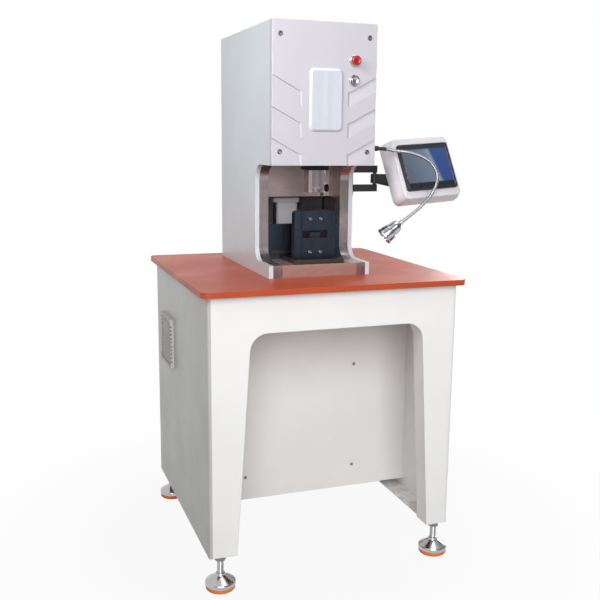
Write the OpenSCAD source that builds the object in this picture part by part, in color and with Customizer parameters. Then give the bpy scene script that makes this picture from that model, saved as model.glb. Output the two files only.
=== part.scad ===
// Terminal crimping press on its own bench.
// +Z is up and the front faces -Y. The origin is on the floor, at the centre of the four feet.

/* [Bench] */
// Width of the table top
table_w = 724; // [700:1:900]
// Depth of the table top
table_d = 698; // [670:1:900]
// Thickness of the table top
table_t = 15; // [10:1:30]
// Height of the working surface above the floor
table_h = 790; // [700:1:900]
// Corner radius of the table top
table_corner_r = 22; // [5:1:60]
// Overhang of the table top at each side
table_over_x = 18; // [14:1:42]
// Overhang of the table top at the front and the back
table_over_y = 23; // [16:1:49]
// Thickness of the bench sheet metal
sheet_t = 2; // [1.5:0.5:3]
// Outer bend radius of the bench corners
bend_r = 9; // [4:1:20]
// Height of the sheet metal's lower edge above the floor
sheet_clear = 92; // [80:1:110]
// Height of the apron above the knee opening
apron_h = 99; // [70:1:140]
// Width of each front leg at the knee opening's top edge
leg_top_w = 106; // [84:0.5:144]
// Width of each front leg at its foot
leg_foot_w = 69.5; // [52:0.5:79]
// How far the knee opening lies to the right of the bench's middle
knee_shift = 5; // [0:0.5:8]
// Corner radius of the knee opening
knee_r = 48; // [20:1:80]
// Depth of the flange bent back round the knee opening
return_d = 57; // [20:1:70]
// Width of the flanges along the foot of the side panels
foot_flange_w = 58; // [50:1:64]
// Width of the flanges under the table top
top_flange_w = 30; // [20:1:50]

/* [Cabinet] */
// Distance from the front of the bench to the cabinet's front sheet
cabinet_setback = 276; // [220:1:300]
// Height of the cabinet front's lower edge above the floor
cabinet_clear = 116; // [100:1:140]
// Height of the cabinet's bottom sheet above the floor
cabinet_bottom = 145; // [142:1:165]
// Width between the cabinet front's screws
cabinet_screw_w = 336; // [250:1:420]
// Height between the cabinet front's screws
cabinet_screw_h = 315; // [220:1:400]
// Height of the lower cabinet screws above the floor
cabinet_screw_z = 183; // [160:1:260]
// Outside size of the square louvred cover
louvre_size = 145; // [140:1:180]
// How far the louvred cover stands off the side panel
louvre_depth = 10.5; // [9:0.5:20]
// Height of the louvred cover's centre above the floor
louvre_z = 563; // [450:1:640]
// Distance from the bench's back to the louvred cover's centre
louvre_inset = 170; // [110:1:220]
// Size of the square cooling fan
fan_size = 120; // [110:1:130]
// Depth of the cooling fan
fan_depth = 38; // [25:1:50]

/* [Levelling feet] */
// Diameter of the levelling pads
pad_d = 80; // [60:1:90]
// Thickness of the rubber under a pad
pad_t = 11.5; // [6:0.5:14]
// How far the rubber stays inside the pad's rim
pad_inset = 1.5; // [1:0.5:4]
// Height of the straight rim of a pad's metal bell
bell_rim_h = 12; // [8:1:20]
// Height of the cone on top of the rim
bell_cone_h = 16; // [10:1:22]
// Diameter of the hub on top of the bell
bell_hub_d = 28; // [24:1:34]
// Height of that hub
bell_hub_h = 6; // [4:1:10]
// Diameter of the threaded stud
stud_d = 18; // [14:1:20]
// Length of stud above the foot plate at rest
stud_spare = 22; // [20:1:26]
// Thickness of the lock nut
nut_t = 12; // [8:1:14]
// Size of the lock nut across its flats
nut_af = 27; // [24:1:30]
// Thickness of the foot plates welded in the corners
foot_plate_t = 10; // [6:1:14]
// Distance of a foot's axis from the side of the bench
foot_inset_x = 33; // [30:1:40]
// Distance of a foot's axis from the front or back of the bench
foot_inset_y = 18; // [17:1:30]

/* [Press frame] */
// Width of the press over its painted sides
head_w = 288; // [270:1:320]
// Distance from the bench's centre to the front edge of the frames
head_front_reach = 192; // [150:1:230]
// Depth of the press behind that edge
head_d = 479; // [460:1:500]
// Thickness of the painted side covers
cover_t = 12; // [8:1:16]
// Thickness of the steel side frames
frame_t = 26; // [20:1:32]
// Height of the base between the frames
base_h = 34; // [25:1:45]
// Height of the throat from the base up to the head
throat_h = 261; // [240:1:300]
// Depth of the throat behind the frames' front edge
throat_d = 125; // [115:1:140]
// Lower inner corner radius of the throat
throat_low_r = 38; // [15:1:45]
// Upper inner corner radius of the throat
throat_top_r = 45; // [15:1:50]
// Height of the head above the throat
head_h = 360; // [340:1:420]
// Thickness of the front cover
front_t = 18; // [14:1:24]
// Chamfer on the front cover's upright edges
front_chamfer = 2; // [1:0.5:4]
// Thickness of the top and rear covers
shell_t = 10; // [4:1:14]
// Thickness of the cross plate behind the throat
back_plate_t = 26; // [15:1:35]
// Distance from the throat's back edge to that plate
back_plate_gap = 81; // [60:1:100]
// Height of the window under that plate
window_h = 167; // [150:1:180]
// Height of the black plate across the back of the throat
throat_plate_h = 97; // [80:1:110]
// Thickness of that plate
throat_plate_t = 12; // [8:1:16]

/* [Front cover relief] */
// Distance from the cover's centre to the upright ends of the pockets
pocket_in_x = 68; // [60:1:90]
// How far a pocket's upper edge drops from its outer to its inner end
pocket_drop = 40; // [20:1:50]
// Height of the sloping band of a pocket
pocket_band = 36; // [24:1:38]
// Depth of a pocket at its upper edge
pocket_depth = 4; // [1:0.5:8]
// Spacing of the pockets up the cover
pocket_pitch = 79; // [60:1:90]
// Height of the lowest pocket's outer end above the cover's lower edge
pocket_low_z = 69; // [60:1:80]
// Width of the raised plate
badge_w = 94; // [70:1:110]
// Height of the raised plate
badge_h = 160; // [100:1:180]
// Thickness of the raised plate
badge_t = 5; // [2:0.5:8]
// Width of the raised plate's sloping edge
badge_slope = 6; // [2:0.5:9]
// Height of the raised plate's centre above the cover's lower edge
badge_z = 166; // [130:1:200]
// Sideways place of the raised plate's centre
badge_x = 3; // [-10:1:10]
// Sideways place of the lamp and the button
control_x = 80; // [72:1:95]
// Height of the start button above the cover's lower edge
button_z = 217; // [200:1:222]
// Height of the pilot lamp above the start button
lamp_rise = 50; // [40:1:60]
// Diameter of the round bezels
bezel_d = 30; // [26:1:34]
// Thickness of the bezels
bezel_t = 4; // [2:1:6]
// Diameter of the mounting holes for the lamp and the button
control_hole_d = 22; // [16:1:24]
// Diameter of the button's cap
button_d = 20; // [12:1:20.5]
// Travel of the button
button_travel = 4; // [2:0.5:6]
// Diameter of the pilot lamp's lens
pilot_d = 26; // [18:1:28]
// How far the lens stands out of its bezel
pilot_h = 13; // [6:1:16]

/* [Ram and tooling] */
// Side of the square ram
ram_w = 48; // [42:1:50]
// Distance from the frames' front edge to the ram's axis
ram_setback = 50; // [46:1:56]
// Height of the ram's foot above the base at rest
ram_clear = 188; // [188:1:196]
// Length of the ram
ram_l = 156; // [150:1:170]
// Stroke of the ram
stroke = 40; // [20:1:40]
// Width of the slot in the ram's foot that takes a tool's head
slot_w = 30; // [20:1:34]
// Height of that slot
slot_h = 7; // [5:1:10]
// Width of the slot's neck
slot_neck_w = 18; // [10:1:19]
// Height of the slot's neck
slot_neck_h = 9; // [6:1:12]
// Side of the square collar round the ram
collar_w = 58; // [56:1:64]
// How far the collar hangs below the head
collar_h = 13; // [8:1:20]
// Thickness of the head's floor
head_floor_t = 20; // [12:1:28]
// Height of the guide above that floor
guide_h = 42; // [30:1:50]
// Wall of the guide round the ram
guide_wall = 24; // [15:1:28]
// Width of the bolster
bolster_w = 140; // [130:1:160]
// Thickness of the bolster
bolster_t = 12; // [9:1:12]
// Distance from the frames' front edge to the bolster
bolster_setback = 4; // [2:1:10]
// Depth of the bolster
bolster_d = 112; // [105:1:116]
// Width of the tool holder's front plate
holder_w = 116; // [100:1:124]
// Height of the tool holder
holder_h = 127; // [110:1:127]
// Thickness of the tool holder's front plate
holder_t = 26; // [20:1:30]
// Distance from the ram's axis forward to the tool holder's face
holder_lead = 8; // [4:1:12]
// Corner radius of the tool holder
holder_r = 9; // [4:1:14]
// Radius of the threaded holes in the bolster
bolster_hole_r = 4; // [3:0.5:5]
// Width between those holes
bolster_hole_w = 110; // [90:1:120]
// Distance from the bolster's front edge to those holes
bolster_hole_inset = 14; // [9:1:20]

/* [Drive] */
// Diameter of the ball screw
screw_d = 20; // [16:1:20]
// Lead of the ball screw
screw_lead = 10; // [5:1:20]
// Height of the plate that carries the drive, above the throat
drive_plate_z = 170; // [165:1:175]
// Thickness of that plate
drive_plate_t = 20; // [15:1:24]
// Outside diameter of the screw's bearing
bearing_d = 47; // [42:1:52]
// Pitch radius of the belt pulleys
pulley_r = 30; // [26:1:34]
// Width of the timing belt
belt_w = 15; // [10:1:20]
// Thickness of the timing belt
belt_t = 3; // [2:0.5:4]
// Distance between the belt's two shafts
belt_span = 232; // [225:1:240]
// Side of the square servo motor
motor_w = 80; // [60:1:82]
// Length of the servo motor
motor_l = 150; // [120:1:155]
// Diameter of the motor's shaft
motor_shaft_d = 14; // [11:1:16]

/* [Screen] */
// Width of the screen's black bezel
screen_w = 163; // [150:1:175]
// Height of the screen's black bezel
screen_h = 134; // [120:1:145]
// Width of the white housing
housing_w = 210; // [195:1:220]
// Height of the white housing
housing_h = 182; // [170:1:200]
// How far the bezel sits to the right of the housing's middle
bezel_shift = 0; // [0:1:6]
// Depth of the white housing
screen_depth = 50; // [44:1:54]
// How far the bezel stands out of the housing
bezel_out = 9; // [4:1:12]
// Turn of the screen to the right
screen_yaw = 4; // [0:1:10]
// Lean of the screen to the back
screen_tilt = 25; // [15:1:35]
// Roll of the screen in its own plane
screen_roll = 4; // [0:1:6]
// Distance from the press's centre to the screen's centre
screen_x = 321; // [315:1:330]
// Distance from the swivel post forward to the screen's face
screen_lead = 149; // [145:1:160]
// Height of the screen's centre above the working surface
screen_z = 294; // [285:1:300]
// Width of the square bracket on the press's side
bracket_w = 90; // [85:1:100]
// Height of the square bracket
bracket_h = 74; // [70:1:80]
// Thickness of the bracket's bars
bracket_bar = 20; // [12:1:22]
// Depth of the bracket's bars
bracket_depth = 14; // [12:1:18]
// Distance from the throat's back edge to the bracket's middle
bracket_y = 37; // [32:1:60]
// Height of the bracket's foot above the base
bracket_z = 182; // [175:1:190]
// Diameter of the swivel post
post_d = 11; // [9:1:14]
// Wall of the rings round the post and the tilt pin
ring_wall = 6; // [4:1:7]
// Diameter of the tilt pin
tilt_pin_d = 8; // [6:1:10]

/* [Gooseneck lamp] */
// Diameter of the lamp's mounting socket
lamp_post_d = 14; // [13:1:18]
// Length of the mounting socket
lamp_post_l = 26; // [22:1:28]
// Distance from the frames' front edge to the socket
lamp_post_y = 20; // [18:1:24]
// Height of the socket above the head's lower edge
lamp_post_z = 45; // [40:1:50]
// Diameter of the gooseneck
neck_d = 9; // [8:1:10]
// Diameter of the lamp's mouth
lamp_mouth_d = 47; // [40:1:50]
// Length of the lamp's head
lamp_head_l = 64; // [55:1:75]
// Wall of the lamp's head
lamp_wall = 2; // [1:0.5:3]

/* [Hidden] */

// How far a cut runs past the face that it starts from
over = 2;
// Radial clearance of a running fit
run_gap = 0.05;
// Gap between pieces on different bodies
fit_gap = 0.3;
// Radial clearance of a screw in its hole
screw_gap = 0.2;

// Bench places
under_z = table_h - table_t;
bench_w = table_w - 2 * table_over_x;
bench_d = table_d - 2 * table_over_y;
knee_top_w = bench_w - 2 * leg_top_w;
knee_foot_w = bench_w - 2 * leg_foot_w;
wall_x = bench_w / 2;
wall_in_x = wall_x - sheet_t;
wall_mid_x = wall_x - sheet_t / 2;
front_y = -bench_d / 2;
rear_y = bench_d / 2;
knee_top_z = under_z - apron_h;
cabinet_y = front_y + cabinet_setback;
foot_x = wall_x - foot_inset_x;
foot_y = rear_y - foot_inset_y;
flange_top_z = sheet_clear + sheet_t;
foot_plate_z = flange_top_z + foot_plate_t;
louvre_y = rear_y - louvre_inset;

// Press places
head_x = head_w / 2;
frame_x = head_x - cover_t;
inner_x = frame_x - frame_t;
head_front = -head_front_reach;
head_back = head_front + head_d;
base_z = table_h + base_h;
throat_z = base_z + throat_h;
head_top = throat_z + head_h;
throat_y = head_front + throat_d;
frame_back = head_back - shell_t;
frame_top = head_top - shell_t;
cover_front = head_front - front_t;
back_plate_y = throat_y + back_plate_gap;
window_z = base_z + window_h;
head_corner_r = 6;
pocket_end_size = [5, 3];

// Fasteners: shank radius, head radius and head height
cover_screw = [4, 6.5, 8];
sheet_screw = [2.5, 4.75, 2.5];
tool_screw = [3, 5, 6];
base_bolt = [6, 9, 12];
rear_screw = [2.5, 4.75, 2.5];
cover_screw_x = head_x - 22;
cover_screw_inset = 35;
counterbore = 9;
cover_screw_grip = 22;
sheet_screw_grip = 14;
tool_screw_x = 15;
tool_screw_inset = [16, 21];
tool_screw_grip = 20;
base_bolt_x = 78;
base_bolt_inset = [60, 50];
base_bolt_grip = 20;
rear_screw_inset = 45;
rear_screw_x = 119;
rear_screw_grip = 16;

// Inside the cabinet
plate_t = 2;
standoff_r = 7;
standoff_l = 18;
plate_margin = 70;
rail_w = 35;
rail_t = 7;
rail_gap = 130;
supply_size = [90, 62, 125];
supply_x = -70;
breaker_size = [54, 60, 85];
breaker_x = 70;
entry_size = [70, 30, 150];
entry_inset = 124;
entry_x = entry_inset - wall_x;
entry_z = 300;
entry_lip = 5;
entry_t = 3;
inlet_size = [28, 20];
inlet_drop = 36;
knob_rise = 38;
knob_r = 20;
knob_t = 14;
knob_grip = [9, 34, 10];
knob_shaft_r = 4;
knob_shaft_l = 18;

// Louvred cover and fan
louvre_rim = 9;
louvre_wall = 2.5;
louvre_count = 11;
slat_t = 1.6;
slat_tilt = -40;
slat_w = 10;
louvre_notch = [4.5, 5];
fan_bore_d = fan_size - 8;
fan_hub_d = 46;
fan_gap = 1.5;
fan_strut_w = 6;
fan_strut_t = 4;
fan_blades = 7;
blade_t = 2.2;
blade_pitch = 35;
blade_root = 3;
fan_shaft_r = 3;
fan_boss_r = 8;

// Ram and drive places
ram_y = head_front + ram_setback;
ram_foot = base_z + ram_clear;
ram_top = ram_foot + ram_l;
guide_out = ram_w / 2 + guide_wall;
bolster_y = head_front + bolster_setback;
bolster_z = base_z + bolster_t;
holder_y = ram_y - holder_lead;
holder_top = bolster_z + holder_h;
holder_back_y = bolster_y + bolster_d;
holder_back_w = 84;
holder_back_h = 78;
bar_gap = 6;
bar_t = 9;
bar_h = 10;
bar_rise = 17;
recess_size = [72, 20];
recess_z = 54;
recess_d = 5;
gauge_size = [30, 10];
ram_edge = 6;
clamp_screw = [7, 10];
clamp_l = 8.5;
tip_r = 4.5;
tip_l = 8;
tip_x = 17;
nut_body_r = 14;
nut_flange_r = 20;
nut_flange_t = 10;
nut_l = 42;
screw_foot = throat_z + 12;
nut_clear = 4;
collar_r = 14;
shoulder_t = 5;
drive_z = throat_z + drive_plate_z;
drive_top = drive_z + drive_plate_t;
belt_z = drive_top + 17;
belt_top = belt_z + belt_w;
flange_r = pulley_r + 4;
flange_t = 1.5;
hub_r = 15;
hub_l = 6;
motor_y = ram_y + belt_span;
drive_back = motor_y + motor_w / 2 + 12;
drive_front_gap = 10;
motor_spigot_r = 35;
motor_spigot_t = 4;
motor_cap_h = 38;
motor_waist = 6;
screw_bore_r = nut_body_r + fit_gap;
button_r = button_d / 2;

// Electrical boxes behind the window
box_w = 68;
box_x = -19;
box_y = back_plate_y + 106;
box_d = 110;
box_lid = 14;
lid_over = 17;
box_corner = 10;
conduit_r = 5;
conduit_gap = 11;
box_top = window_z - 23;
drive_size = [60, 36, 178];
drive_x = 43;
drive_y = back_plate_y + back_plate_t + 22;
drive_fins = 6;
fin_d = 6;

// Screen places
screen_y = throat_y + bracket_y - screen_lead;
screen_at = [screen_x, screen_y, table_h + screen_z];
post_x = head_x + bracket_w - post_d / 2;
post_y = throat_y + bracket_y;
bracket_low = base_z + bracket_z;
bracket_flange = [6, 52];
ring_h = 26;
arm_t = 8;
arm_low = 26;
arm_clear = 40;
tilt_x = -75;
tilt_back = screen_depth + bezel_out + 12;
ear_t = 8;
ear_gap = 10;
screen_corner_r = 18;
bezel_r = 6;
housing_edge = 36;
housing_in = [12, 3];
housing_y = bezel_out + housing_edge;
glass_size = [147, 118];
glass_t = 1.2;
glass_drop = 0.8;
housing_wall = 3;
board_t = 10;
board_gap = 4;

// Lamp places; the gooseneck's route is a hand-chosen list of points from the post's end
lamp_y = head_front + lamp_post_y;
lamp_z = throat_z + lamp_post_z;
neck_start = [head_x + lamp_post_l, lamp_y, lamp_z];
neck_route = [
    [0, 0, 0], [26, -4, -2], [47, -14, -6], [65, -25, -8], [83, -34, -11], [102, -42, -17],
    [119, -49, -25], [134, -56, -38], [144, -63, -55], [147, -69, -73], [144, -73, -88],
    [135, -77, -106], [122, -80, -125], [104, -82, -142], [84, -83, -159], [62, -83, -175],
    [46, -82, -187], [39, -81, -192]
];
neck_steps = 2;
neck_sides = 12;
lamp_aim = [-46, 8, -37];
ferrule_l = 16;
lamp_flange_r = 14;
lamp_flange_t = 5;
lens_t = 3;
lens_lip = 1;
lamp_neck_r = 9;
lamp_barrel_r = 15;
lamp_shares = [0, 0.12, 0.5, 0.86, 1];

// Points of an arc, and the outline of a rectangle with round corners
function arc(c, r, a0, a1, n = 8) =
    [for (i = [0:n]) c + r * [cos(a0 + (a1 - a0) * i / n), sin(a0 + (a1 - a0) * i / n)]];
function round_rect(w, d, r, n = 8) = concat(
    arc([w / 2 - r, d / 2 - r], r, 0, 90, n), arc([r - w / 2, d / 2 - r], r, 90, 180, n),
    arc([r - w / 2, r - d / 2], r, 180, 270, n), arc([w / 2 - r, r - d / 2], r, 270, 360, n));
function unit(v) = v / norm(v);

// Extrusions along X from x0 and along Y from y0, of outlines drawn as (y, z) and (x, z)
module along_x(x0, l) translate([x0, 0, 0]) rotate([90, 0, 90]) linear_extrude(l) children();
module along_y(y0, l) translate([0, y0 + l, 0]) rotate([90, 0, 0]) linear_extrude(l) children();
module block(lo, hi) translate(lo) cube(hi - lo);
module rod_x(at, r, l) translate(at) rotate([0, 90, 0]) cylinder(r = r, h = l, $fn = 48);
module rod_y(at, r, l) translate(at) rotate([-90, 0, 0]) cylinder(r = r, h = l, $fn = 48);
module rod_z(at, r, l) translate(at) cylinder(r = r, h = l, $fn = 48);
module mirrored_x() {
    children();
    mirror([1, 0, 0]) children();
}
module four(x, y) for (sx = [-1, 1], sy = [-1, 1]) translate([sx * x, sy * y, 0]) children();

// Places shared by the screws and the holes that they go through
module cover_screw_places()
    for (sx = [-1, 1], z = [throat_z + cover_screw_inset, head_top - cover_screw_inset])
        translate([sx * cover_screw_x, cover_front, z]) children();
module cabinet_screw_places()
    for (sx = [-1, 1], dz = [0, cabinet_screw_h])
        translate([sx * cabinet_screw_w / 2, cabinet_y, cabinet_screw_z + dz]) children();
module tool_screw_places()
    for (sx = [-1, 1], z = [bolster_z + tool_screw_inset[0], holder_top - tool_screw_inset[1]])
        translate([sx * tool_screw_x, holder_y, z]) children();
module base_bolt_places()
    for (sx = [-1, 1], y = [head_front + base_bolt_inset[0], frame_back - base_bolt_inset[1]])
        translate([sx * base_bolt_x, y, under_z]) children();
module rear_screw_places()
    for (sx = [-1, 1], z = [base_z + rear_screw_inset, frame_top - rear_screw_inset])
        translate([sx * rear_screw_x, head_back, z]) children();

// Bench: sheet metal front, sides and back under a thick table top
module tabletop() color([0.79, 0.30, 0.17]) difference() {
    translate([0, 0, under_z]) linear_extrude(table_t)
        polygon(round_rect(table_w, table_d, table_corner_r, 12));
    base_bolt_places() rod_z([0, 0, -over], base_bolt[0] + screw_gap, table_t + 2 * over);
}

knee_lean = atan((knee_foot_w - knee_top_w) / 2 / (knee_top_z - sheet_clear));
knee_centre = [knee_top_w / 2 + knee_r * tan(knee_lean) - knee_r / cos(knee_lean),
               knee_top_z - knee_r];
function knee_x(z) = knee_top_w / 2 + (knee_top_z - z) * tan(knee_lean);
function knee_outline(grow, z0) = [for (p = concat(
    [[knee_x(z0) + grow / cos(knee_lean), z0]],
    arc(knee_centre, knee_r + grow, knee_lean, 90, 12),
    arc([-knee_centre[0], knee_centre[1]], knee_r + grow, 90, 180 - knee_lean, 12),
    [[-knee_x(z0) - grow / cos(knee_lean), z0]])) p + [knee_shift, 0]];

module bench_front() color([0.93, 0.93, 0.94]) difference() {
    union() {
        block([-wall_x + bend_r, front_y, sheet_clear], [wall_x - bend_r, front_y + sheet_t, under_z]);
        along_y(front_y, return_d) polygon(knee_outline(sheet_t, sheet_clear));
    }
    along_y(front_y - over, return_d + 2 * over) polygon(knee_outline(0, sheet_clear - over));
}

function side_outline() = concat(
    [[wall_in_x, rear_y], [wall_x, rear_y]],
    arc([wall_x - bend_r, front_y + bend_r], bend_r, 0, -90, 8),
    arc([wall_x - bend_r, front_y + bend_r], bend_r - sheet_t, -90, 0, 8));

module side_panel() {
    translate([0, 0, sheet_clear]) linear_extrude(under_z - sheet_clear) polygon(side_outline());
    block([wall_x - foot_flange_w, front_y + sheet_t, sheet_clear],
          [wall_mid_x, rear_y - sheet_t, flange_top_z]);
    block([wall_x - top_flange_w, front_y + return_d, under_z - sheet_t],
          [wall_mid_x, rear_y - sheet_t, under_z]);
    for (s = [-1, 1]) mirror([0, s < 0 ? 1 : 0, 0])
        block([wall_x - foot_flange_w, rear_y - return_d, flange_top_z - sheet_t / 2],
              [wall_mid_x, rear_y - sheet_t, foot_plate_z]);
}
module foot_holes() for (sy = [-1, 1])
    rod_z([foot_x, sy * foot_y, sheet_clear - over], stud_d / 2 + run_gap,
          foot_plate_z - sheet_clear + 2 * over);

module bench_side_right() color([0.86, 0.86, 0.87]) difference() {
    side_panel();
    foot_holes();
}
module bench_side_left() color([0.86, 0.86, 0.87]) difference() {
    mirror([1, 0, 0]) side_panel();
    mirror([1, 0, 0]) foot_holes();
    rod_x([-wall_x - over, louvre_y, louvre_z], fan_bore_d / 2, sheet_t + 2 * over);
}
module bench_rear() color([0.86, 0.86, 0.87]) difference() {
    block([-wall_in_x, rear_y - sheet_t, sheet_clear], [wall_in_x, rear_y, under_z]);
    block([entry_x - entry_size[0] / 2, rear_y - sheet_t - over, entry_z - entry_size[2] / 2],
          [entry_x + entry_size[0] / 2, rear_y + over, entry_z + entry_size[2] / 2]);
}
module cabinet_tray() color([0.87, 0.87, 0.86]) difference() {
    union() {
        block([-wall_in_x, cabinet_y, cabinet_clear],
              [wall_in_x, cabinet_y + sheet_t, under_z - sheet_t]);
        block([-wall_in_x, cabinet_y, cabinet_bottom],
              [wall_in_x, rear_y - sheet_t, cabinet_bottom + sheet_t]);
    }
    cabinet_screw_places() rod_y([0, -over, 0], sheet_screw[0] + screw_gap, sheet_t + 2 * over);
}

// Things inside the cabinet
plate_y = cabinet_y + sheet_t + standoff_l;
plate_low = cabinet_screw_z - plate_margin / 2;
plate_high = cabinet_screw_z + cabinet_screw_h + plate_margin / 2;
rail_z = [(plate_low + plate_high - rail_gap) / 2, (plate_low + plate_high + rail_gap) / 2];
rail_front = plate_y + plate_t + rail_t;

module mounting_plate() color([0.72, 0.74, 0.76]) difference() {
    union() {
        block([-(cabinet_screw_w + plate_margin) / 2, plate_y, plate_low],
              [(cabinet_screw_w + plate_margin) / 2, plate_y + plate_t, plate_high]);
        cabinet_screw_places() rod_y([0, sheet_t, 0], standoff_r, standoff_l + plate_t / 2);
        for (z = rail_z)
            block([-cabinet_screw_w / 2, plate_y + plate_t / 2, z - rail_w / 2],
                  [cabinet_screw_w / 2, rail_front, z + rail_w / 2]);
    }
    cabinet_screw_places() rod_y([0, 0, 0], sheet_screw[0] + screw_gap, sheet_screw_grip + sheet_t);
}
module power_supply() color([0.62, 0.64, 0.66]) difference() {
    translate([supply_x - supply_size[0] / 2, rail_front, rail_z[1] - supply_size[2] / 2])
        cube(supply_size);
    for (i = [-3:3])
        block([supply_x + i * supply_size[0] / 8 - slat_t, rail_front + supply_size[1] - slat_w,
               rail_z[1]],
              [supply_x + i * supply_size[0] / 8 + slat_t, rail_front + supply_size[1] + over,
               rail_z[1] + supply_size[2] / 2 - slat_w]);
}
module power_entry() color([0.12, 0.12, 0.13]) difference() {
    union() {
        block([entry_x - entry_size[0] / 2 + screw_gap, rear_y - entry_size[1],
               entry_z - entry_size[2] / 2 + screw_gap],
              [entry_x + entry_size[0] / 2 - screw_gap, rear_y, entry_z + entry_size[2] / 2 - screw_gap]);
        block([entry_x - entry_size[0] / 2 - entry_lip, rear_y, entry_z - entry_size[2] / 2 - entry_lip],
              [entry_x + entry_size[0] / 2 + entry_lip, rear_y + entry_t,
               entry_z + entry_size[2] / 2 + entry_lip]);
    }
    translate([entry_x, rear_y - inlet_size[1], entry_z - inlet_drop])
        block([-inlet_size[0] / 2, 0, -inlet_size[1] / 2],
              [inlet_size[0] / 2, inlet_size[1] + entry_t + over, inlet_size[1] / 2]);
    rod_y([entry_x, rear_y + entry_t - knob_shaft_l - fit_gap, entry_z + knob_rise],
          knob_shaft_r + run_gap, knob_shaft_l + fit_gap + over);
}
module switch_knob() color([0.75, 0.12, 0.10])
    translate([entry_x, rear_y + entry_t + fit_gap, entry_z + knob_rise]) {
        rod_y([0, 0, 0], knob_r, knob_t / 2);
        block([-knob_grip[0] / 2, 0, -knob_grip[1] / 2], [knob_grip[0] / 2, knob_t, knob_grip[1] / 2]);
        rod_y([0, -knob_shaft_l, 0], knob_shaft_r, knob_shaft_l + over);
    }

// Louvred cover on the left side, with the fan behind it
module louvre_cover() color([0.84, 0.84, 0.83]) {
    s = louvre_size / 2;
    slat_pitch = 2 * (s - louvre_rim) / louvre_count;
    translate([-wall_x, louvre_y, louvre_z]) {
        difference() {
            block([-louvre_depth, -s, -s], [0, s, s]);
            block([louvre_wall - louvre_depth, louvre_wall - s, louvre_wall - s],
                  [over, s - louvre_wall, s - louvre_wall]);
            block([-louvre_depth - over, louvre_rim - s, louvre_rim - s],
                  [0, s - louvre_rim, s - louvre_rim]);
            for (i = [1:louvre_count - 1])
                translate([-louvre_depth, 0, louvre_rim - s + i * slat_pitch])
                    block([-over, -s - over, -louvre_notch[1] / 2],
                          [louvre_notch[0], s + over, louvre_notch[1] / 2]);
        }
        intersection() {
            block([-louvre_depth, louvre_wall / 2 - s, louvre_rim / 2 - s],
                  [0, s - louvre_wall / 2, s - louvre_rim / 2]);
            for (i = [0:louvre_count - 1])
                translate([-louvre_depth / 2, 0, louvre_rim - s + (i + 0.5) * slat_pitch])
                    rotate([0, slat_tilt, 0])
                        block([-slat_w / 2, -s, -slat_t / 2], [slat_w / 2, s, slat_t / 2]);
        }
    }
}
module fan_frame() color([0.13, 0.13, 0.14]) translate([-wall_in_x, louvre_y, louvre_z]) {
    difference() {
        block([0, -fan_size / 2, -fan_size / 2], [fan_depth, fan_size / 2, fan_size / 2]);
        rod_x([-over, 0, 0], fan_bore_d / 2, fan_depth + 2 * over);
    }
    difference() {
        union() {
            for (a = [45, 135]) rotate([a, 0, 0])
                block([fan_depth - fan_strut_t, -fan_bore_d / 2 - over / 2, -fan_strut_w / 2],
                      [fan_depth, fan_bore_d / 2 + over / 2, fan_strut_w / 2]);
            rod_x([fan_depth - fan_strut_t, 0, 0], fan_hub_d / 2, fan_strut_t);
            rod_x([fan_depth / 2, 0, 0], fan_boss_r, fan_depth / 2);
        }
        rod_x([fan_depth / 4, 0, 0], fan_shaft_r + run_gap, fan_depth / 2 + fit_gap);
    }
}
module fan_rotor() color([0.16, 0.16, 0.17]) translate([-wall_in_x, louvre_y, louvre_z]) {
    low = fan_strut_t;
    high = fan_depth - fan_strut_t - fan_gap;
    difference() {
        union() {
            rod_x([low, 0, 0], fan_hub_d / 2, high - low);
            for (i = [0:fan_blades - 1]) rotate([360 * i / fan_blades, 0, 0])
                translate([(low + high) / 2, 0, 0]) rotate([0, 0, blade_pitch])
                    block([-(high - low) / 2 * 0.8, -blade_t / 2, fan_hub_d / 2 - blade_root],
                          [(high - low) / 2 * 0.8, blade_t / 2, fan_bore_d / 2 - fan_gap - blade_root]);
        }
        rod_x([fan_depth / 2 - fan_gap, 0, 0], fan_boss_r + fan_gap, fan_depth);
    }
    rod_x([low, 0, 0], fan_shaft_r, fan_depth * 3 / 4 - low);
}

// Levelling feet
module bell_profile() polygon([
    [0, pad_t], [pad_d / 2, pad_t], [pad_d / 2, pad_t + bell_rim_h],
    [bell_hub_d / 2, pad_t + bell_rim_h + bell_cone_h],
    [bell_hub_d / 2, pad_t + bell_rim_h + bell_cone_h + bell_hub_h],
    [0, pad_t + bell_rim_h + bell_cone_h + bell_hub_h]]);
module foot(sx, sy) color([0.78, 0.79, 0.81]) translate([sx * foot_x, sy * foot_y, 0]) {
    rotate_extrude($fn = 64) bell_profile();
    rod_z([0, 0, pad_t + bell_rim_h], stud_d / 2, foot_plate_z + stud_spare - pad_t - bell_rim_h);
}
module pad(sx, sy) color([0.93, 0.45, 0.10]) translate([sx * foot_x, sy * foot_y, 0])
    cylinder(d = pad_d - 2 * pad_inset, h = pad_t, $fn = 64);
module foot_front_left() foot(-1, -1);
module foot_front_right() foot(1, -1);
module foot_rear_left() foot(-1, 1);
module foot_rear_right() foot(1, 1);
module pad_front_left() pad(-1, -1);
module pad_front_right() pad(1, -1);
module pad_rear_left() pad(-1, 1);
module pad_rear_right() pad(1, 1);
module lock_nuts() color([0.70, 0.71, 0.73]) four(foot_x, foot_y)
    difference() {
        translate([0, 0, sheet_clear - nut_t]) cylinder(d = nut_af / cos(30), h = nut_t, $fn = 6);
        rod_z([0, 0, sheet_clear - nut_t - over], stud_d / 2 + run_gap, nut_t + 2 * over);
    }

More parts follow.
